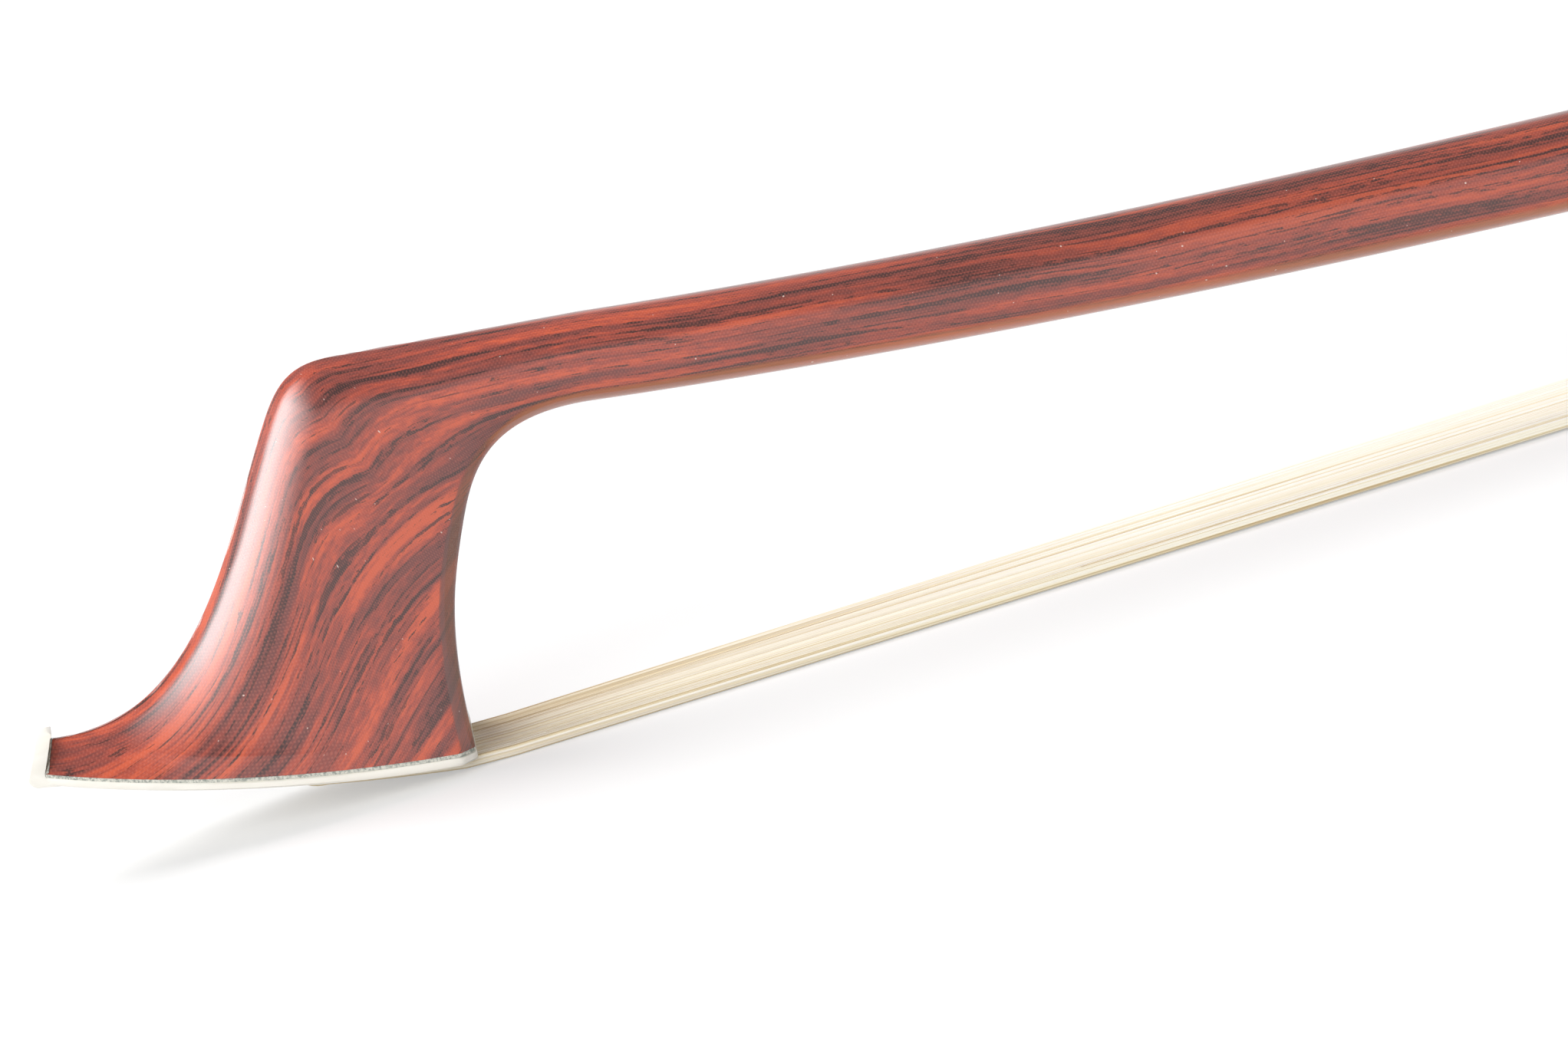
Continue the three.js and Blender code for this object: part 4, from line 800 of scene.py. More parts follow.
def grain_field(points):
    """How far points of the head lie under the grain's guide lines, and how far along them. One
    guide is the stick's top, drawn out to the front; the other is the ridge, drawn out upwards.
    The depth is a smooth least of the two depths, so that the grain turns slowly at the crown."""
    top_way, rise = unit(neck_top - crown[2]), unit(ridge[2] - ridge[1])
    d1 = (points - neck_top) @ np.array([top_way[1], -top_way[0]])
    a1 = (points - neck_top) @ top_way
    guide = joined_line(bezier(beak_top, *ridge, 300),
                        np.linspace(ridge[2], ridge[2] + 16 * rise, 40))
    run = lengths(guide)
    length = np.linalg.norm(points.reshape(-1, 1, 2) - guide[None], axis=2)
    d2 = length.min(1).reshape(d1.shape)
    corner = ((crown[2] - neck_top) @ top_way) - 4.0
    turn_run = run[np.linalg.norm(guide - (neck_top + top_way * corner), axis=1).argmin()]
    a2 = corner - (turn_run - run[length.argmin(1)]).reshape(d1.shape)
    least, most = np.minimum(d1, d2), np.maximum(d1, d2)
    reach = np.clip(1.5 + 1.5 * least, 1.5, 13.0)
    blend = np.maximum(reach - (most - least), 0) / reach
    weight = np.clip(0.5 + 0.5 * (d2 - d1) / reach, 0, 1)
    return least - blend ** 2 * reach / 4, mix(a2, a1, weight)


def film_map(rings, foot_rows, head_rows):
    """The film's coordinates in millimetres: along the grain, and across it. On the stick they
    are the length run along the top and the length round a ring from its top, less than nothing
    on one side. On the head they follow the grain's field, with what the ring adds by its width,
    smoothed along the head."""
    top = len(stations) - 1
    closed = np.concatenate([rings, rings[:, :1]], 1)
    run = lengths(rings[:, top])

    def round_from_top(points):
        total = np.array([lengths(ring) for ring in points])
        return total - total[:, top:top + 1]

    around, flat = round_from_top(closed), round_from_top(closed[..., [0, 2]])
    along = np.broadcast_to(run[:, None] - run[head_rows], around.shape).copy()
    depth, length = grain_field(closed[:head_rows, :, [0, 2]])
    side = np.where(np.arange(around.shape[1]) <= top, -1.0, 1.0)
    by_width = np.abs(around) - np.abs(flat)
    by_width[:foot_rows] = by_width[foot_rows]
    for _ in range(60):
        by_width[1:-1] = (by_width[:-2] + 2 * by_width[1:-1] + by_width[2:]) / 4
    around[:head_rows] = side * (depth + by_width[:head_rows])
    along[:head_rows] = length
    return np.stack([along, around], -1)


def front_at(z):
    """The X of the wood's front end at a height: upright below its foot, and leaning above."""
    return wood_front[0] + WOOD_END_LEAN / WOOD_END_HEIGHT * np.maximum(z - wood_front[1], 0)


def front_slab(name, ahead, behind, low, high):
    """A slab on the wood's front, from ahead of it to behind it, between two heights."""
    half = PLATE_NOSE_WIDTH / 2
    levels = np.array([low, wood_front[1], high])
    outline = np.concatenate([columns_of(front_at(levels) + behind, levels),
                              columns_of(front_at(levels) - ahead, levels)[::-1]])
    return prism(name, outline, -half, half, "y", in_row)


MORTISE_REAR = -HEAD_MORTISE_FROM_REAR
MORTISE_FRONT = MORTISE_REAR - HEAD_MORTISE_LENGTH


def mortise_room(low, high):
    half = HEAD_MORTISE_WIDTH / 2
    return brick("mortise_room", (MORTISE_FRONT, -half, low), (MORTISE_REAR, half, high), in_row)


def make_stick():
    """The stick from the beak to the spigot, less its mortise, bore and slot, and the end of the
    liner that turns up between the beak and the plate's nose."""
    shares = np.concatenate([np.linspace(0, 0.2, 26), np.linspace(0.2, 0.7, 60)[1:],
                             np.linspace(0.7, 1, 24)[1:-1]])
    head = head_half_rings(shares)
    foot = mix(plate_half_ring(WOOD_REAR_Z)[None], head[:1],
               np.array([0.0, 0.35, 0.7])[:, None, None])
    rings = whole_rings(np.concatenate([foot, head, camber_half_rings(), handle_half_rings()]))
    film_uv = film_map(rings, len(foot), len(foot) + len(head))
    made = lofted("bow_stick", rings, in_row, film_uv, sharp=28, ends="strips")
    turned_up = lofted("head_liner_turned_up", rings[:12], in_row, sharp=28, ends="strips")
    low = wood_front[1] - LINER
    carved(turned_up, front_slab("slab", LINER, LINER - NOSE_SEAT, low + LINER / 2, nose_top),
           operation="INTERSECT")
    dressed(turned_up, "liner", "stick")
    carved(made, front_slab("slab_room", LINER, LINER, low, nose_top))
    roof = plate_curve(-MORTISE_FRONT / HEAD_REACH, WOOD_REAR_Z)[1] + HEAD_MORTISE_DEPTH
    carved(
        made, mortise_room(-1, roof),
        rod("bore_room", (0, AXIS_HEIGHT), BORE_DIAMETER, BUTT_X - SCREW_REACH - RUN_GAP,
            BUTT_X + SPIGOT_LENGTH + 1, sides=32),
        brick("slot_room",
              (EYELET_X - EYELET_LENGTH / 2 - SLOT_FORWARD, -EYELET_WIDTH / 2 - RUN_GAP,
               AXIS_HEIGHT - HANDLE_FLATS),
              (EYELET_X + EYELET_LENGTH / 2 + SLOT_REARWARD, EYELET_WIDTH / 2 + RUN_GAP,
               AXIS_HEIGHT + EYELET_HEIGHT / 2 + SLOT_ROOF)))
    dressed(made, "stick", "stick", "stick")


def sheet(name, low, high, ease, sharp):
    """A sheet between two heights over the plate's curve, drawn in by `ease` at both faces."""
    rings = []
    for height, inset in ((low, ease), (low + ease, 0), (high - ease, 0), (high, ease)):
        half = plate_half_ring(height)
        way = (half + [HEAD_REACH / 2, 0, 0]) * [1, 1, 0]
        rings.append(half - way / np.maximum(np.linalg.norm(way, axis=1), 1)[:, None] * inset)
    return lofted(name, whole_rings(np.stack(rings)), in_row, sharp=sharp, ends="strips")


def make_plate():
    """The plate's sheet with a nose that turns up in front of the wood and rounds over."""
    plate = sheet("tip_plate_ivory", PLATE_REAR_Z, LINER_REAR_Z, 0.12, 50)
    radius, under, over = NOSE_THICKNESS / 2, NOSE_UNDER, NOSE_OVER
    inner = lambda z: front_at(z) - NOSE_SEAT
    foot_share = 1 - NOSE_THICKNESS / HEAD_REACH
    foot, base = plate_curve([foot_share, 1], PLATE_REAR_Z)
    seat, heel = plate_curve([foot_share, 1], LINER_REAR_Z)
    # Up the inner face, over the rounded top, down the outer face and round under the sheet.
    top_turn = np.linspace(0.1, 0.9, 9) * np.pi
    under_turn = np.linspace(1.0, 1.5, 7) * np.pi
    outline = np.concatenate([
        [foot, seat, (inner(heel[1]), heel[1]), (inner(wood_front[1]), wood_front[1]),
         (inner(nose_top - over), nose_top - over)],
        columns_of(inner(nose_top) - radius + radius * np.cos(top_turn),
                   nose_top - over + over * np.sin(top_turn)),
        columns_of(base[0] - NOSE_THICKNESS + under + under * np.cos(under_turn),
                   base[1] + under + under * np.sin(under_turn))])
    half = PLATE_NOSE_WIDTH / 2
    nose = prism("nose", outline, -half, half, "y", in_row, 40)
    turn = np.linspace(0, np.pi, 25)
    face = np.concatenate([[(-half, 0), (half, 0)], columns_of(
        half * np.cos(turn), nose_top - NOSE_CROWN + NOSE_CROWN * np.sin(turn))])
    carved(nose, prism("nose_face", face, base[0] - 2 * NOSE_THICKNESS, 0, "x", in_row),
           operation="INTERSECT")
    edge = nose.modifiers.new("edge", "BEVEL")
    edge.width, edge.segments = NOSE_EASE * MM, 3
    edge.limit_method, edge.angle_limit = "ANGLE", math.radians(35)
    edge.harden_normals = True
    carved(nose)
    carved(plate, nose, operation="UNION")
    carved(plate, mortise_room(-3, 9))
    outward(plate.data)
    sharpened(plate.data, 40)
    dressed(plate, "plate", "stick", "tip_plate")


make_stick()
make_plate()
liner = sheet("head_liner_fibre", LINER_REAR_Z + LINER_SEAT, WOOD_REAR_Z - LINER_SEAT, 0, 40)
dressed(carved(liner, mortise_room(-3, 9)), "liner", "stick", "head_liner")


# ---------------------------------------------------------------- hair

HAIR_UP = HAIR / 2 + GLUE_GAP
SLIDE_TOP = SLIDE_PEARL + GLUE_GAP + SLIDE_BACKING
HAIR_ON_FLAT = FERRULE_WALL + HAIR_UP
HAIR_ON_SLIDE = SLIDE_TOP + HAIR_UP
MORTISE_X0 = FERRULE_LENGTH + FROG_MORTISE_FROM_FERRULE
MORTISE_X1 = MORTISE_X0 + FROG_MORTISE_LENGTH
hair_mouth = from_handle([0, 0, HAIR_ON_FLAT])


def hair_path():
    """The ribbon's stations (x, z, half width): down out of the head's mortise, round the plug,
    under the plate, straight to the ferrule while it spreads, and up into the frog."""
    under_plate = lambda x: plate_curve(-x / HEAD_REACH, PLATE_REAR_Z)[..., 1] - HAIR_UP
    turn = np.linspace(0, np.pi / 2, 12)
    x_up = MORTISE_FRONT + FIT_GAP + HAIR_UP
    half = HEAD_MORTISE_WIDTH / 2 - RUN_GAP
    bend_x = x_up + HAIR_BEND
    bend_z = under_plate(bend_x)
    below = np.linspace(0.9, 0.1, 9)
    share = np.concatenate([[0, 0.004, 0.01], np.linspace(0.02, 1, 60)])
    outside = np.concatenate([
        [[x_up, bend_z + HAIR_UP + GLUE_GAP + PLUG_HEIGHT, half]],
        columns_of(bend_x - HAIR_BEND * np.cos(turn),
                   bend_z + HAIR_BEND - HAIR_BEND * np.sin(turn), half),
        columns_of(bend_x * below, under_plate(bend_x * below),
                   mix(HAIR_WIDTH_AT_HEAD / 2, half, below)),
        columns_of(mix(HAIR_BEND, hair_mouth[0], share), mix(HAIR / 2, hair_mouth[2], share),
                   mix(HAIR_WIDTH_AT_HEAD, HAIR_WIDTH_AT_FERRULE, 1 - (1 - share) ** 3) / 2)])
    x_in = MORTISE_X1 - FIT_GAP - HAIR_UP
    inside = np.concatenate([
        [[TONGUE_SETBACK + 5.2, HAIR_ON_FLAT, HAIR_WIDTH_AT_FERRULE],
         [FERRULE_LENGTH, HAIR_ON_SLIDE, mix(HAIR_WIDTH_AT_FERRULE, HAIR_WIDTH_IN_FROG, 0.4)],
         [MORTISE_X0, HAIR_ON_SLIDE, HAIR_WIDTH_IN_FROG]],
        columns_of(x_in - HAIR_BEND + HAIR_BEND * np.sin(turn),
                   HAIR_ON_SLIDE + HAIR_BEND - HAIR_BEND * np.cos(turn), HAIR_WIDTH_IN_FROG),
        [[x_in, HAIR_ON_SLIDE + HAIR_UP + PLUG_HEIGHT, HAIR_WIDTH_IN_FROG]]])
    x, _, z = from_handle(columns_of(inside[:, 0], 0, inside[:, 1])).T
    return np.concatenate([outside, columns_of(x, z, inside[:, 2] / 2)])


hair_rows = hair_path()
hair_run = lengths(hair_rows[:, :2])
hair_along = unit(np.gradient(hair_rows[:, :2], axis=0))
hair_up = columns_of(-hair_along[:, 1], hair_along[:, 0])


def band_section(hairs, per_hair, half, corner):
    """A rounded rectangle of half the ribbon's width and thickness, as shares of both: points
    at even lengths round it, the way out from each, and how deep each lies between two hairs."""
    turn = np.linspace(0, np.pi / 2, 12)
    quarter = columns_of(half - corner * (1 - np.sin(turn)), HAIR / 2 - corner * (1 - np.cos(turn)))
    right = np.concatenate([quarter, quarter[::-1] * [1, -1]])
    line = np.concatenate([right, -right, right[:1]])
    count = hairs * per_hair
    points = at_length(line, np.arange(count) / count)
    way = np.roll(points, -1, axis=0) - np.roll(points, 1, axis=0)
    out = unit(columns_of(-way[:, 1], way[:, 0]))
    out *= np.sign((out * points).sum(1))[:, None]
    phase = np.arange(count) / per_hair % 1
    return points / [half, HAIR / 2], out, 1 - np.abs(np.sin(np.pi * phase)) ** 0.7


def make_hair():
    """A band of parallel hairs: its section is a rounded rectangle with one low arch for each
    hair, and each hair's height wanders slowly along the path."""
    hairs, per_hair = 132, 4
    shares, out, valley = band_section(hairs, per_hair, HAIR_WIDTH_AT_FERRULE / 2, 0.28)
    which = np.arange(hairs * per_hair) // per_hair
    knots = np.linspace(0, hair_run[-1], 16)
    wander = np.stack([np.interp(hair_run, knots, random.normal(0, 1, 16))
                       for _ in range(hairs)], 1)
    sunk = 0.01 + 0.03 * random.random(hairs)[which] + 0.012 * np.abs(wander[:, which])
    depth = sunk + 0.03 * valley
    level = HAIR / 2 * shares[:, 1] - out[:, 1] * depth
    rings = np.stack([hair_rows[:, :1] + hair_up[:, :1] * level,
                      hair_rows[:, 2:] * shares[:, 0] - out[:, 0] * depth,
                      hair_rows[:, 1:2] + hair_up[:, 1:] * level], -1)
    around = np.linspace(0, HAIR_ROUND, hairs * per_hair + 1)
    return lofted("hair_band", rings, in_row, columns_of(hair_run[:, None], around), sharp=180)


def make_loose_hairs():
    """Single hairs that cross the band's faces at small angles: round rods along the path, lying
    half in the band, every fourth one underneath. Each lies at a share of the half width, which
    wanders along its length."""
    count, sides, radius = 60, 5, 0.075
    rows, run, up = (line[14:-15] for line in (hair_rows, hair_run, hair_up))
    knots = np.linspace(run[0], run[-1], 9)
    turn = np.linspace(0, 2 * np.pi, sides, endpoint=False)
    centres, tones = [], []
    for j in range(count):
        start = random.uniform(-0.93, 0.93)
        wander = np.interp(run, knots, np.cumsum(random.normal(0, 0.04, 9)))
        level = (1 if j % 4 else -1) * (HAIR / 2 - radius)
        centres.append(columns_of(rows[:, 0] + up[:, 0] * level,
                                  rows[:, 2] * np.clip(start + wander, -0.95, 0.95),
                                  rows[:, 1] + up[:, 1] * level))
        tones.append(random.uniform(0, HAIR_ROUND))
    rings = np.stack(centres)[:, :, None] + radius * columns_of(
        up[:, :1] * np.sin(turn), np.cos(turn), up[:, 1:] * np.sin(turn))
    each = len(rows) * sides
    ends = np.arange(sides) + np.array([[0], [each - sides]])
    first = np.arange(count)[:, None, None] * each
    faces = [face for shape in (ring_quads(len(rows), sides), ends)
             for face in (first + shape).reshape(-1, shape.shape[1]).tolist()]
    uv = columns_of(np.repeat(run, sides), np.array(tones)[:, None]).reshape(-1, 2)
    return solid("loose_hairs", in_row(rings), faces, uv[np.concatenate(faces)] * MM, sharp=180)


hair_start, hair_end = tuple(in_row([20.0, 0, HAIR / 2])), tuple(in_row(hair_mouth))
for piece, replaced in ((make_hair(), ["hair_ribbon"]), (make_loose_hairs(), [])):
    dressed(piece, "hair", None, *replaced)
    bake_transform(piece)
    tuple(hair_start)
    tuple(hair_end)


# ---------------------------------------------------------------- frog

CHEEK_HEIGHT = AXIS_HEIGHT - CHEEK_DROP
SHOULDER_X = FERRULE_LENGTH + FIT_GAP
THROAT_X = SHOULDER_X + THROAT_DEPTH
THROAT_LEVEL = FERRULE_HEIGHT + THROAT_HEIGHT
LIP_LEVEL = CHEEK_HEIGHT - LIP_HEIGHT
TROUGH_OUT = FIT_GAP + UNDERSLIDE + GLUE_GAP
BACK_PLATE_TOP = AXIS_HEIGHT - HANDLE_FLATS / 2 - TROUGH_OUT - BACK_PLATE_TOP_GAP
PLATE_FRONT_X = FROG_LENGTH - HEEL_RADIUS - HEEL_PLATE_REACH
RING_INSIDE = EYE_DIAMETER + 2 * EYE_RING_GAP
RING_OUTSIDE = RING_INSIDE + 2 * EYE_RING_WIDTH


def frog_half_width(z):
    """Half the frog's width: full at the base, and drawn in above on a rounding."""
    share = np.clip((z - 0.15 * CHEEK_HEIGHT) / (0.67 * CHEEK_HEIGHT), 0, 1)
    return mix(FROG_WIDTH, FROG_TOP_WIDTH, 1 - (1 - share) ** 2) / 2


EYE_FLOOR = frog_half_width(EYE_HEIGHT) - EYE_DEPTH


def frog_blank(name):
    """Level outlines of the frog from its base to its cheeks: round the heel, along the flank,
    and in to the throat, whose edges are rounded off."""
    first = bezier((SHOULDER_X, FERRULE_HEIGHT), (mix(SHOULDER_X, THROAT_X, 0.6), FERRULE_HEIGHT),
                   (THROAT_X, mix(FERRULE_HEIGHT, THROAT_LEVEL, 0.45)), (THROAT_X, THROAT_LEVEL),
                   24)
    second = bezier((THROAT_X, THROAT_LEVEL), (THROAT_X, mix(THROAT_LEVEL, LIP_LEVEL, 0.5)),
                    (mix(THROAT_X, LIP_X, 0.72), mix(THROAT_LEVEL, LIP_LEVEL, 0.62)),
                    (LIP_X, LIP_LEVEL), 30)
    heel = HEEL_RADIUS * (1 - np.cos(np.linspace(0, np.pi / 2, 26)))[:-1]
    levels = np.concatenate([
        columns_of(SHOULDER_X, heel), first, second[1:],
        [[LIP_X + LIP_HEIGHT / 6, mix(LIP_LEVEL, CHEEK_HEIGHT, 0.6)],
         [LIP_X + LIP_HEIGHT / 3, CHEEK_HEIGHT - 0.2], [LIP_X + LIP_HEIGHT / 3, CHEEK_HEIGHT]]])
    front, z = levels.T[..., None]
    below = np.maximum(HEEL_RADIUS - z, 0)
    rear = FROG_LENGTH - HEEL_RADIUS + np.sqrt(np.maximum(HEEL_RADIUS ** 2 - below ** 2, 0))
    width = frog_half_width(z)
    over_ferrule = np.clip((z - FERRULE_SIDE) / (FERRULE_HEIGHT - FERRULE_SIDE), 0, 1)
    at_ferrule = np.minimum(FROG_WIDTH / 2 * np.sqrt(1 - over_ferrule ** 2), width)
    in_throat = z >= FERRULE_HEIGHT - 1e-9
    opened = smooth_step(z, FERRULE_HEIGHT, THROAT_LEVEL)
    front_width = np.where(in_throat, (width - THROAT_EDGE) * opened, at_ferrule)
    edge = mix(THROAT_DEPTH, THROAT_EDGE, np.where(in_throat, opened, 0))
    corner, along, turn = (np.linspace(0, np.pi / 2, 5), np.linspace(0, 1, 8)[1:-1],
                           np.linspace(0, np.pi / 2, 12))
    x = [rear, rear - HEEL_CORNER * (1 - np.cos(corner)),
         mix(rear - HEEL_CORNER, front + edge, along), front + edge * (1 - np.sin(turn)), front]
    y = [0 * z, width - HEEL_CORNER * (1 - np.sin(corner)), width + 0 * along,
         mix(front_width, width, np.cos(turn)), 0 * z]
    halves = columns_of(np.concatenate(x, 1), np.concatenate(y, 1), z)
    return lofted(name, whole_rings(halves), sharp=32, ends="strips")


def ferrule_outline(inset, floor):
    """The ferrule's D in Y and Z: half an ellipse, short upright sides and a flat floor."""
    width = FROG_WIDTH / 2 - inset
    corner = max(FERRULE_CORNER - inset, 0.05)
    side, low = width - corner, floor + corner
    turn, quarter = np.linspace(0, np.pi, 48), np.linspace(0, np.pi / 2, 6)
    rise = FERRULE_HEIGHT - inset - FERRULE_SIDE
    return np.concatenate([
        columns_of(width * np.cos(turn), FERRULE_SIDE + rise * np.sin(turn)),
        columns_of(-side - corner * np.cos(quarter), low - corner * np.sin(quarter)),
        columns_of(side + corner * np.sin(quarter), low - corner * np.cos(quarter))])


def make_ferrule():
    """The D-shaped ring: its wall's section is carried round as a closed band with eased edges."""
    outer, inner = ferrule_outline(0, 0), ferrule_outline(FERRULE_WALL, FERRULE_WALL)
    end = FERRULE_LENGTH
    section = [(FERRULE_EASE, 0), (end - FERRULE_EASE, 0), (end - 0.05, 0.3), (end, 0.6),
               (end, 1), (0, 1), (0, 0.4), (0.05, 0.15)]
    rings = np.stack([columns_of(x, *mix(outer, inner, share).T) for x, share in section], 1)
    dressed(lofted("ferrule_ring", rings, ends="meet"), "silver", "frog", "ferrule")


def heel_core(name, inset):
    """All that lies within the frog's heel by an inset, as wide as twice the frog."""
    turn = np.linspace(0, np.pi / 2, 30)
    radius, front, top = HEEL_RADIUS - inset, -5, AXIS_HEIGHT + 2
    arc = columns_of(FROG_LENGTH - HEEL_RADIUS + radius * np.sin(turn),
                     HEEL_RADIUS - radius * np.cos(turn))
    outline = np.concatenate([[(front, inset)], arc, [(FROG_LENGTH - inset, top), (front, top)]])
    return prism(name, outline, -FROG_WIDTH, FROG_WIDTH, "y")


def plate_space(name, x0, z0, z1):
    return brick(name, (x0, -FROG_WIDTH, z0), (FROG_LENGTH + 2, FROG_WIDTH, z1))


def eye_rod(name, side, diameter, floor):
    """A rod across the frog at the eye, from a floor in one flank out past that flank."""
    low, high = sorted((side * floor, side * FROG_WIDTH))
    return rod(name, (EYE_X, EYE_HEIGHT), diameter, low, high, "y")


def slide_room():
    """The dovetail's room in the base: flared from the pearl's width by SLIDE_FLARE."""
    levels = np.array([-0.4, SLIDE_TOP + GLUE_GAP])
    half = SLIDE_WIDTH / 2 + SLIDE_FLARE * levels / SLIDE_TOP + GLUE_GAP
    outline = np.concatenate([columns_of(-half, levels), columns_of(half, levels)[::-1]])
    return prism("slide_space", outline, FERRULE_LENGTH, PLATE_FRONT_X - GLUE_GAP, "x")


def trough():
    """The underslide's room: the lower half of the handle's octagon, grown by the lining."""
    flat, top = HANDLE_FLATS / 2 + TROUGH_OUT, CHEEK_HEIGHT + 2
    bottom, upper = flat * math.tan(math.pi / 8), flat * math.sqrt(2) - (AXIS_HEIGHT - top)
    floor = AXIS_HEIGHT - flat
    outline = [(-upper, top), (-bottom, floor), (bottom, floor), (upper, top)]
    return prism("trough", outline, -2, FROG_LENGTH + 2, "x")


def make_frog_body():
    """The ebony body: the blank with its tongue, less the rooms for all that is let into it."""
    body = frog_blank("frog_ebony")
    tongue_floor = HAIR_ON_FLAT + HAIR_UP + WEDGE + GLUE_GAP
    outline = ferrule_outline(FERRULE_WALL + FIT_GAP / 2, tongue_floor)
    carved(body, prism("tongue", outline, TONGUE_SETBACK, SHOULDER_X + THROAT_EDGE / 2, "x"),
           operation="UNION")
    recess = plate_space("recess", PLATE_FRONT_X - GLUE_GAP, -2, BACK_PLATE_TOP + GLUE_GAP)
    carved(recess, heel_core("core", HEEL_PLATE + GLUE_GAP))
    half_band, half_room = HAIR_WIDTH_AT_FERRULE / 2, FROG_MORTISE_WIDTH / 2
    tools = [
        recess, slide_room(), trough(),
        brick("channel", (FERRULE_LENGTH - 0.5, -half_band, SLIDE_TOP),
              (MORTISE_X1 - 2, half_band, HAIR_ON_SLIDE + HAIR_UP + FIT_GAP)),
        brick("mortise", (MORTISE_X0, -half_room, SLIDE_TOP - 0.3),
              (MORTISE_X1, half_room, SLIDE_TOP + FROG_MORTISE_HEIGHT)),
        rod("shank_hole", (EYELET_X, 0), SHANK_DIAMETER + 2 * FIT_GAP,
            AXIS_HEIGHT - EYELET_HEIGHT - SHANK_LENGTH, AXIS_HEIGHT, "z", 32)]
    seat_floor = EYE_FLOOR - GLUE_GAP
    for side in (-1, 1):
        ring_seat = eye_rod("ring_seat", side, RING_OUTSIDE + 2 * GLUE_GAP, seat_floor)
        carved(ring_seat, eye_rod("ring_core", side, RING_INSIDE - 2 * GLUE_GAP, 0))
        tools += [eye_rod("disc_seat", side, EYE_DIAMETER + 2 * GLUE_GAP, seat_floor), ring_seat]
    dressed(carved(body, *tools), "ebony", "frog", "frog_body", sharp=32)


def make_metal_plates():
    """The heel and back plates: the frog's own skin behind PLATE_FRONT_X, cut in two."""
    for node, low, high in (("heel_plate", -2, HEEL_RADIUS - GLUE_GAP),
                            ("back_plate", HEEL_RADIUS, BACK_PLATE_TOP)):
        skin = carved(frog_blank(node + "_metal"), heel_core("core", HEEL_PLATE))
        carved(skin, plate_space("room", PLATE_FRONT_X, low, high), operation="INTERSECT")
        dressed(skin, "silver", "frog", node, sharp=32)


def make_eyes():
    """The eyes' discs and rings: the frog's own skin, cut out by rods across it."""
    for side, word in ((1, "left"), (-1, "right")):
        disc, ring = frog_blank("eye_disc_" + word), frog_blank("eye_band_" + word)
        carved(disc, eye_rod("disc", side, EYE_DIAMETER, EYE_FLOOR), operation="INTERSECT")
        carved(ring, eye_rod("outer", side, RING_OUTSIDE, EYE_FLOOR), operation="INTERSECT")
        carved(ring, eye_rod("inner", side, RING_INSIDE, 0))
        dressed(disc, "pearl", "frog", "pearl_eye_" + word, sharp=32)
        dressed(ring, "silver", "frog", "eye_ring_" + word, sharp=32)


make_ferrule()
make_frog_body()
make_metal_plates()
make_eyes()


# ---------------------------------------------------------------- button

BUTTON_X0 = BUTT_X + RUN_GAP
BUTTON_X1 = BUTTON_X0 + FRONT_COLLAR
BUTTON_X2 = BUTTON_X1 + CORE
BUTTON_X3 = BUTTON_X2 + CAP
BUTTON_REACH = BUTTON_FLATS / 2 / math.cos(math.pi / 8)


def eight_sided(name, profile):
    """A profile of (distance along, radius) on eight sides round the handle's axis, from a point
    on it to a point on it. Each corner is eased over a small share of its two sides."""
    half = np.pi / 8
    ease = half * np.array([-BUTTON_CORNER, 0, BUTTON_CORNER])
    turn = (half * np.arange(1, 17, 2)[:, None] + ease).ravel()
    flat = math.cos(half) / np.cos(half - np.abs(ease))
    flat[1] = (1 + flat[0]) / 2
    on_axis = 0.02
    profile = [(profile[0][0], on_axis), *profile, (profile[-1][0], on_axis)]
    x, radius = np.array(profile).T[..., None]
    return lofted(name, about_handle(x, radius * np.tile(flat, 8), turn), sharp=30)


def grooved(x0, x1):
    """A profile from x0 to x1 at the corners' reach, with a thin turned groove in its middle."""
    x = (x0 + x1) / 2 + GROOVE_HALF * np.array([-1, 0, 1])
    return [(x0, BUTTON_REACH), *zip(x, BUTTON_REACH - GROOVE_DEPTH * np.array([0, 1, 0])),
            (x1, BUTTON_REACH)]


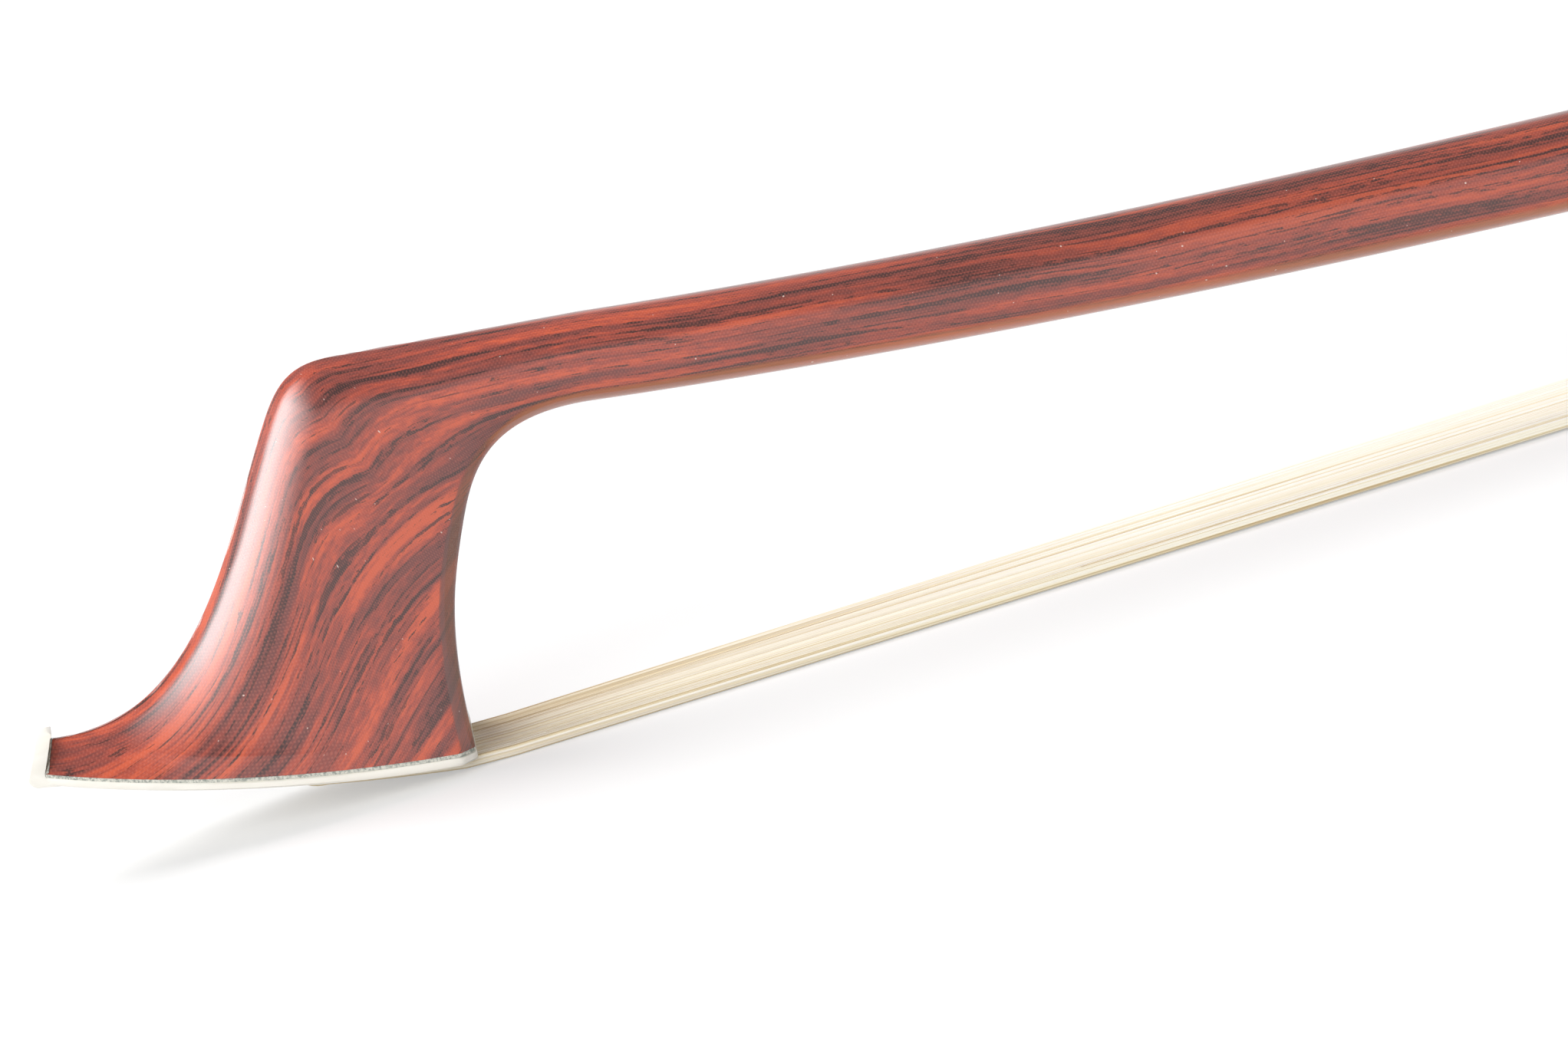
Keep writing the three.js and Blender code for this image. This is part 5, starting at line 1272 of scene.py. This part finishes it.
def make_button():
    """The button's two metal collars and the waisted ebony between them, on eight sides."""
    on_axis = partial(rod, centre=(0, AXIS_HEIGHT))
    tenon_room = TENON_DIAMETER + 2 * GLUE_GAP
    arris, bore_end = BUTTON_REACH - BUTTON_ARRIS, BUTTON_X3 - CAP_WALL
    edge, end = CAP_ROUNDING / 4, BUTTON_X1 - GLUE_GAP
    front = eight_sided("button_collar_metal", [
        (BUTTON_X0, BUTTON_REACH - edge), (BUTTON_X0 + edge / 3, BUTTON_REACH - edge / 3),
        *grooved(BUTTON_X0 + edge, end - BUTTON_ARRIS), (end, arris)])
    carved(front, on_axis("tenon_room", diameter=tenon_room, low=BUTT_X, high=BUTTON_X1 + 1))
    share = np.linspace(0, 1, 15)
    core = eight_sided("button_ebony", [*zip(
        mix(BUTTON_X1, BUTTON_X2, share), BUTTON_REACH - CORE_WAIST * (1 - (2 * share - 1) ** 2))])
    carved(core, on_axis("tenon", diameter=TENON_DIAMETER, low=BUTTON_X0 + GLUE_GAP,
                         high=bore_end - GLUE_GAP), operation="UNION")
    carved(core,
           on_axis("spigot_room", diameter=SPIGOT_DIAMETER + 2 * FIT_GAP, low=BUTT_X,
                   high=BUTT_X + SPIGOT_LENGTH + RUN_GAP),
           on_axis("screw_room", diameter=SCREW_DIAMETER + 2 * GLUE_GAP, low=BUTT_X,
                   high=BUTTON_X3))
    turn, start = np.linspace(0, np.pi / 2, 9), BUTTON_X2 + GLUE_GAP
    cap = eight_sided("button_cap_metal", [
        (start, arris), *grooved(start + BUTTON_ARRIS, BUTTON_X3 - CAP_ROUNDING - 0.4),
        *zip(BUTTON_X3 - CAP_ROUNDING * (1 - np.sin(turn)),
             BUTTON_REACH - CAP_ROUNDING * (1 - np.cos(turn)))])
    carved(cap, on_axis("tenon_room", diameter=tenon_room, low=BUTT_X, high=bore_end),
           on_axis("pearl_room", diameter=BUTTON_PEARL_DIAMETER + 2 * GLUE_GAP,
                   low=BUTTON_X3 - BUTTON_PEARL_DEPTH, high=BUTTON_X3 + 1))
    dressed(front, "silver", "adjuster", "button_front_collar", sharp=25)
    dressed(core, "ebony", "adjuster", "button_core", sharp=25)
    dressed(cap, "silver", "adjuster", "button_cap", sharp=25)


make_button()


# ---------------------------------------------------------------- grip and lapping

GRIP_REAR = LIP_X - GRIP_ROOM
GRIP_FRONT = ROUND_END_X - GRIP_PAST_FLATS


def make_grip():
    """The leather sleeve: it follows the flats softly, its ends are pared and rounded, and its
    butted seam runs underneath as a shallow valley between two low swellings."""
    length = GRIP_REAR - GRIP_FRONT
    turn = np.linspace(0, 2 * np.pi, 120, endpoint=False)
    run = np.concatenate([[0, 0.15, 0.5, 1.0, 1.8, 2.8], np.linspace(4, length - 4, 40)])
    run = np.concatenate([run, length - run[5::-1]])
    x = (GRIP_FRONT + run)[:, None]
    from_end = np.minimum(run, run[::-1])[:, None]
    pared = np.sin(np.pi / 2 * np.clip(from_end / GRIP_PARED, 0, 1))
    thickness = mix(GRIP_END_THICKNESS, GRIP_THICKNESS, pared) - GRIP_EDGE * (from_end < GRIP_EDGE)
    section = handle_radius(x, turn)
    softened = np.maximum(mix(section, handle_radius(x, np.pi / 8), 0.5), section)
    outer = softened + FIT_GAP + thickness
    away = np.abs((turn + np.pi) % (2 * np.pi) - np.pi) * outer
    outer = outer - SEAM_DEPTH * np.exp(-(away / SEAM_HALF) ** 2)
    outer = outer + SEAM_SWELL * np.exp(-((away - 2.5 * SEAM_HALF) / (1.25 * SEAM_HALF)) ** 2)
    rings = np.concatenate([about_handle(x, outer, turn),
                            about_handle(x[::-1], section[::-1] + FIT_GAP, turn)])
    dressed(lofted("grip_leather", rings, sharp=60, ends="meet"), "leather", "stick", "thumb_grip")


def make_lapping():
    """One flat strip wound round the stick: its section, with a crown and eased edges, is
    carried along a helix of LAPPING_PITCH."""
    half = (LAPPING_PITCH - LAPPING_GAP) / 2
    loops = np.linspace(0, LAPPING_LOOPS, LAPPING_LOOPS * 72 + 1)
    turn = 2 * np.pi * loops[:, None]
    x = GRIP_FRONT - FIT_GAP - half - LAPPING_PITCH * loops[:, None]
    inner = stick_radius(from_handle(columns_of(x - half, 0, AXIS_HEIGHT))[..., 0]) + RUN_GAP
    edge = half - 0.12
    section = np.array([
        (-half, 0.1), (0.1 - half, 0), (half - 0.1, 0), (half, 0.1), (half, 0.56), (edge, 0.8),
        (half / 2, 0.94), (0, 1), (-half / 2, 0.94), (-edge, 0.8), (-half, 0.56)])
    rings = about_handle(x + section[:, 0], inner + LAPPING_THICKNESS * section[:, 1], turn)
    across, run = np.append(section[:, 0], section[0, 0]), HANDLE_FLATS / 2 * turn
    made = lofted("lapping_strip", rings, uv=columns_of(across, run), sharp=40)
    dressed(made, "lapping", "stick", "lapping")


make_grip()
make_lapping()


# ---------------------------------------------------------------- small fasteners

def pin(name, point, way, diameter, body):
    """A pin's end, filed to a low dome that stands 0.05 mm proud: rings of a shrinking radius."""
    way = Vector(way)
    side = way.orthogonal().normalized()
    turn = np.linspace(0, 2 * np.pi, 24, endpoint=False)
    circle = np.outer(np.cos(turn), side) + np.outer(np.sin(turn), way.cross(side))
    dome = (1, -0.3), (1, 0.0), (0.8, 0.03), (0.4, 0.05), (0.02, 0.055)
    rings = [point + circle * share * diameter / 2 + np.array(way) * height
             for share, height in dome]
    dressed(lofted(name, rings), "silver", body)


for index, y in enumerate((-3.4, 3.4)):
    pin(f"heel_plate_pin_{index}", (PLATE_FRONT_X + 1.3, y, 0), (0, 0, -1), 0.9, "frog")
for index, z in enumerate((HEEL_RADIUS + 2.2, BACK_PLATE_TOP - 2.2)):
    pin(f"back_plate_pin_{index}", (FROG_LENGTH, 0, z), (1, 0, 0), 0.9, "frog")
for index, side in enumerate((-1, 1)):
    pin(f"ferrule_pin_{index}", (FERRULE_LENGTH - 1.6, side * FROG_WIDTH / 2, 2.2), (0, side, 0),
        0.7, "frog")
for index, (x, side) in enumerate((x, side) for x in (BUTTON_X0, BUTTON_X2) for side in (-1, 1)):
    pin(f"button_pin_{index}", (x + 0.95, side * BUTTON_FLATS / 2, AXIS_HEIGHT), (0, side, 0),
        0.7, "adjuster")


# ---------------------------------------------------------------- kept CAD nodes

for row in frame["record"]["subparts"]:
    node = frame["nodes"][row["node"]]
    node.data.materials.clear()
    node.data.materials.append(FINISHES[row["material_slot"]])


# ---------------------------------------------------------------- stage, lights and camera

def seen_rays(new):
    """1 for what the camera sees, also in a mirror or through glass, and 0 for plain lighting."""
    camera, mirror, glass = (new("LightPath", (), f"Is {kind} Ray")
                             for kind in ("Camera", "Glossy", "Transmission"))
    mirrored = new("Math", (mirror, glass), operation="MAXIMUM")
    return new("Math", (camera, mirrored), operation="MAXIMUM")


def glowing(new):
    """A little light of the table's own, for what the camera or a mirror sees of it."""
    return {"Emission Strength": new("Math", (seen_rays(new), 0.39), operation="MULTIPLY")}


def make_stage():
    """A plain white table that fills the view and takes the bow's shadow. Its own light makes it
    white where it is lit."""
    mesh = bpy.data.meshes.new("table")
    reach = 14.0
    mesh.from_pydata([(-reach, -reach, 0), (reach, -reach, 0), (reach, reach, 0),
                      (-reach, reach, 0)], [], [(0, 1, 2, 3)])
    mesh.materials.append(finish("white_table", glowing, Base_Color="#cacaca", Roughness=0.9,
                                 Specular_IOR_Level=0.0, Emission_Color="#ffffff"))
    table = placed("table", mesh)


def soft_light(name, azimuth, elevation, size, level):
    """A round soft light, the same all along the bow. It stands at an azimuth from the camera's
    side (-Y) towards the head's front (-X), looks `size` degrees wide, and lights a white
    surface that faces it to `level`."""
    lamp = bpy.data.lights.new(name, "SUN")
    lamp.angle, lamp.energy = math.radians(size), level * math.pi
    made = placed(name, lamp)
    made.visible_glossy = False
    turn, rise = math.radians(azimuth), math.radians(elevation)
    way = Vector((-math.sin(turn) * math.cos(rise), -math.cos(turn) * math.cos(rise),
                  math.sin(rise)))
    made.rotation_euler = way.to_track_quat("Z", "Y").to_euler()


soft_light("key", 136, 54, 38, 0.62)
soft_light("left_fill", 66, 22, 60, 0.20)
soft_light("front_fill", 24, 22, 68, 0.53)


def make_world():
    """A world that lights evenly. Gloss sees it white round the horizon and dim above, and sees
    one tall soft box on the left, which fades towards the camera and upwards. Its brightness is
    its peak times the share of its height times a power of the share of its width."""
    world = bpy.data.worlds.new("studio")
    bpy.context.scene.world = world
    world.use_nodes = True
    world.node_tree.nodes.clear()
    new = partial(add, world.node_tree)
    x, y, height = (new("SeparateXYZ", [new("TexCoord", (), "Generated")], axis)
                    for axis in "XYZ")
    left, near = (new("Math", (one, -1), operation="MULTIPLY") for one in (x, y))
    azimuth = new("Math", (left, near), operation="ARCTAN2")
    box = new("Math", (new("MapRange", (azimuth, 0.38, 1.42)), 1.6), operation="POWER")
    for share in (new("MapRange", (azimuth, 1.82, 1.66)),
                  new("MapRange", (height, 0.96, 0.55, 0, 9)),
                  new("LightPath", (), "Is Glossy Ray")):
        box = new("Math", (box, share), operation="MULTIPLY")
    horizon = new("MapRange", (height, 0.36, 0.64, 0.60, 0))
    strength = new("Math", (seen_rays(new), horizon, 0.40), operation="MULTIPLY_ADD")
    strength = new("Math", (strength, box), operation="ADD")
    new("OutputWorld", [new("Background", {"Color": "#ffffff", "Strength": strength})])


make_world()
make_stage()

CAMERA_HEIGHT = math.radians(15)
CAMERA_ROLL = math.radians(17.35)
CAMERA_AWAY = 0.9
camera = bpy.data.cameras.new("camera")
camera.type, camera.lens, camera.sensor_width = "PERSP", 325.0, 36.0
camera.dof.use_dof = False
looker = placed("camera", camera)
aim = Vector(in_row([22.9, 0, 8.34]))
looker.location = aim + CAMERA_AWAY * Vector(
    (0, -math.cos(CAMERA_HEIGHT), math.sin(CAMERA_HEIGHT)))
base_turn = (aim - looker.location).to_track_quat("-Z", "Y").to_matrix().to_4x4()
looker.matrix_world = (Matrix.Translation(looker.location) @ base_turn
                       @ Matrix.Rotation(-CAMERA_ROLL, 4, "Z"))
bpy.context.scene.camera = looker
bpy.context.scene.view_settings.view_transform = "Standard"
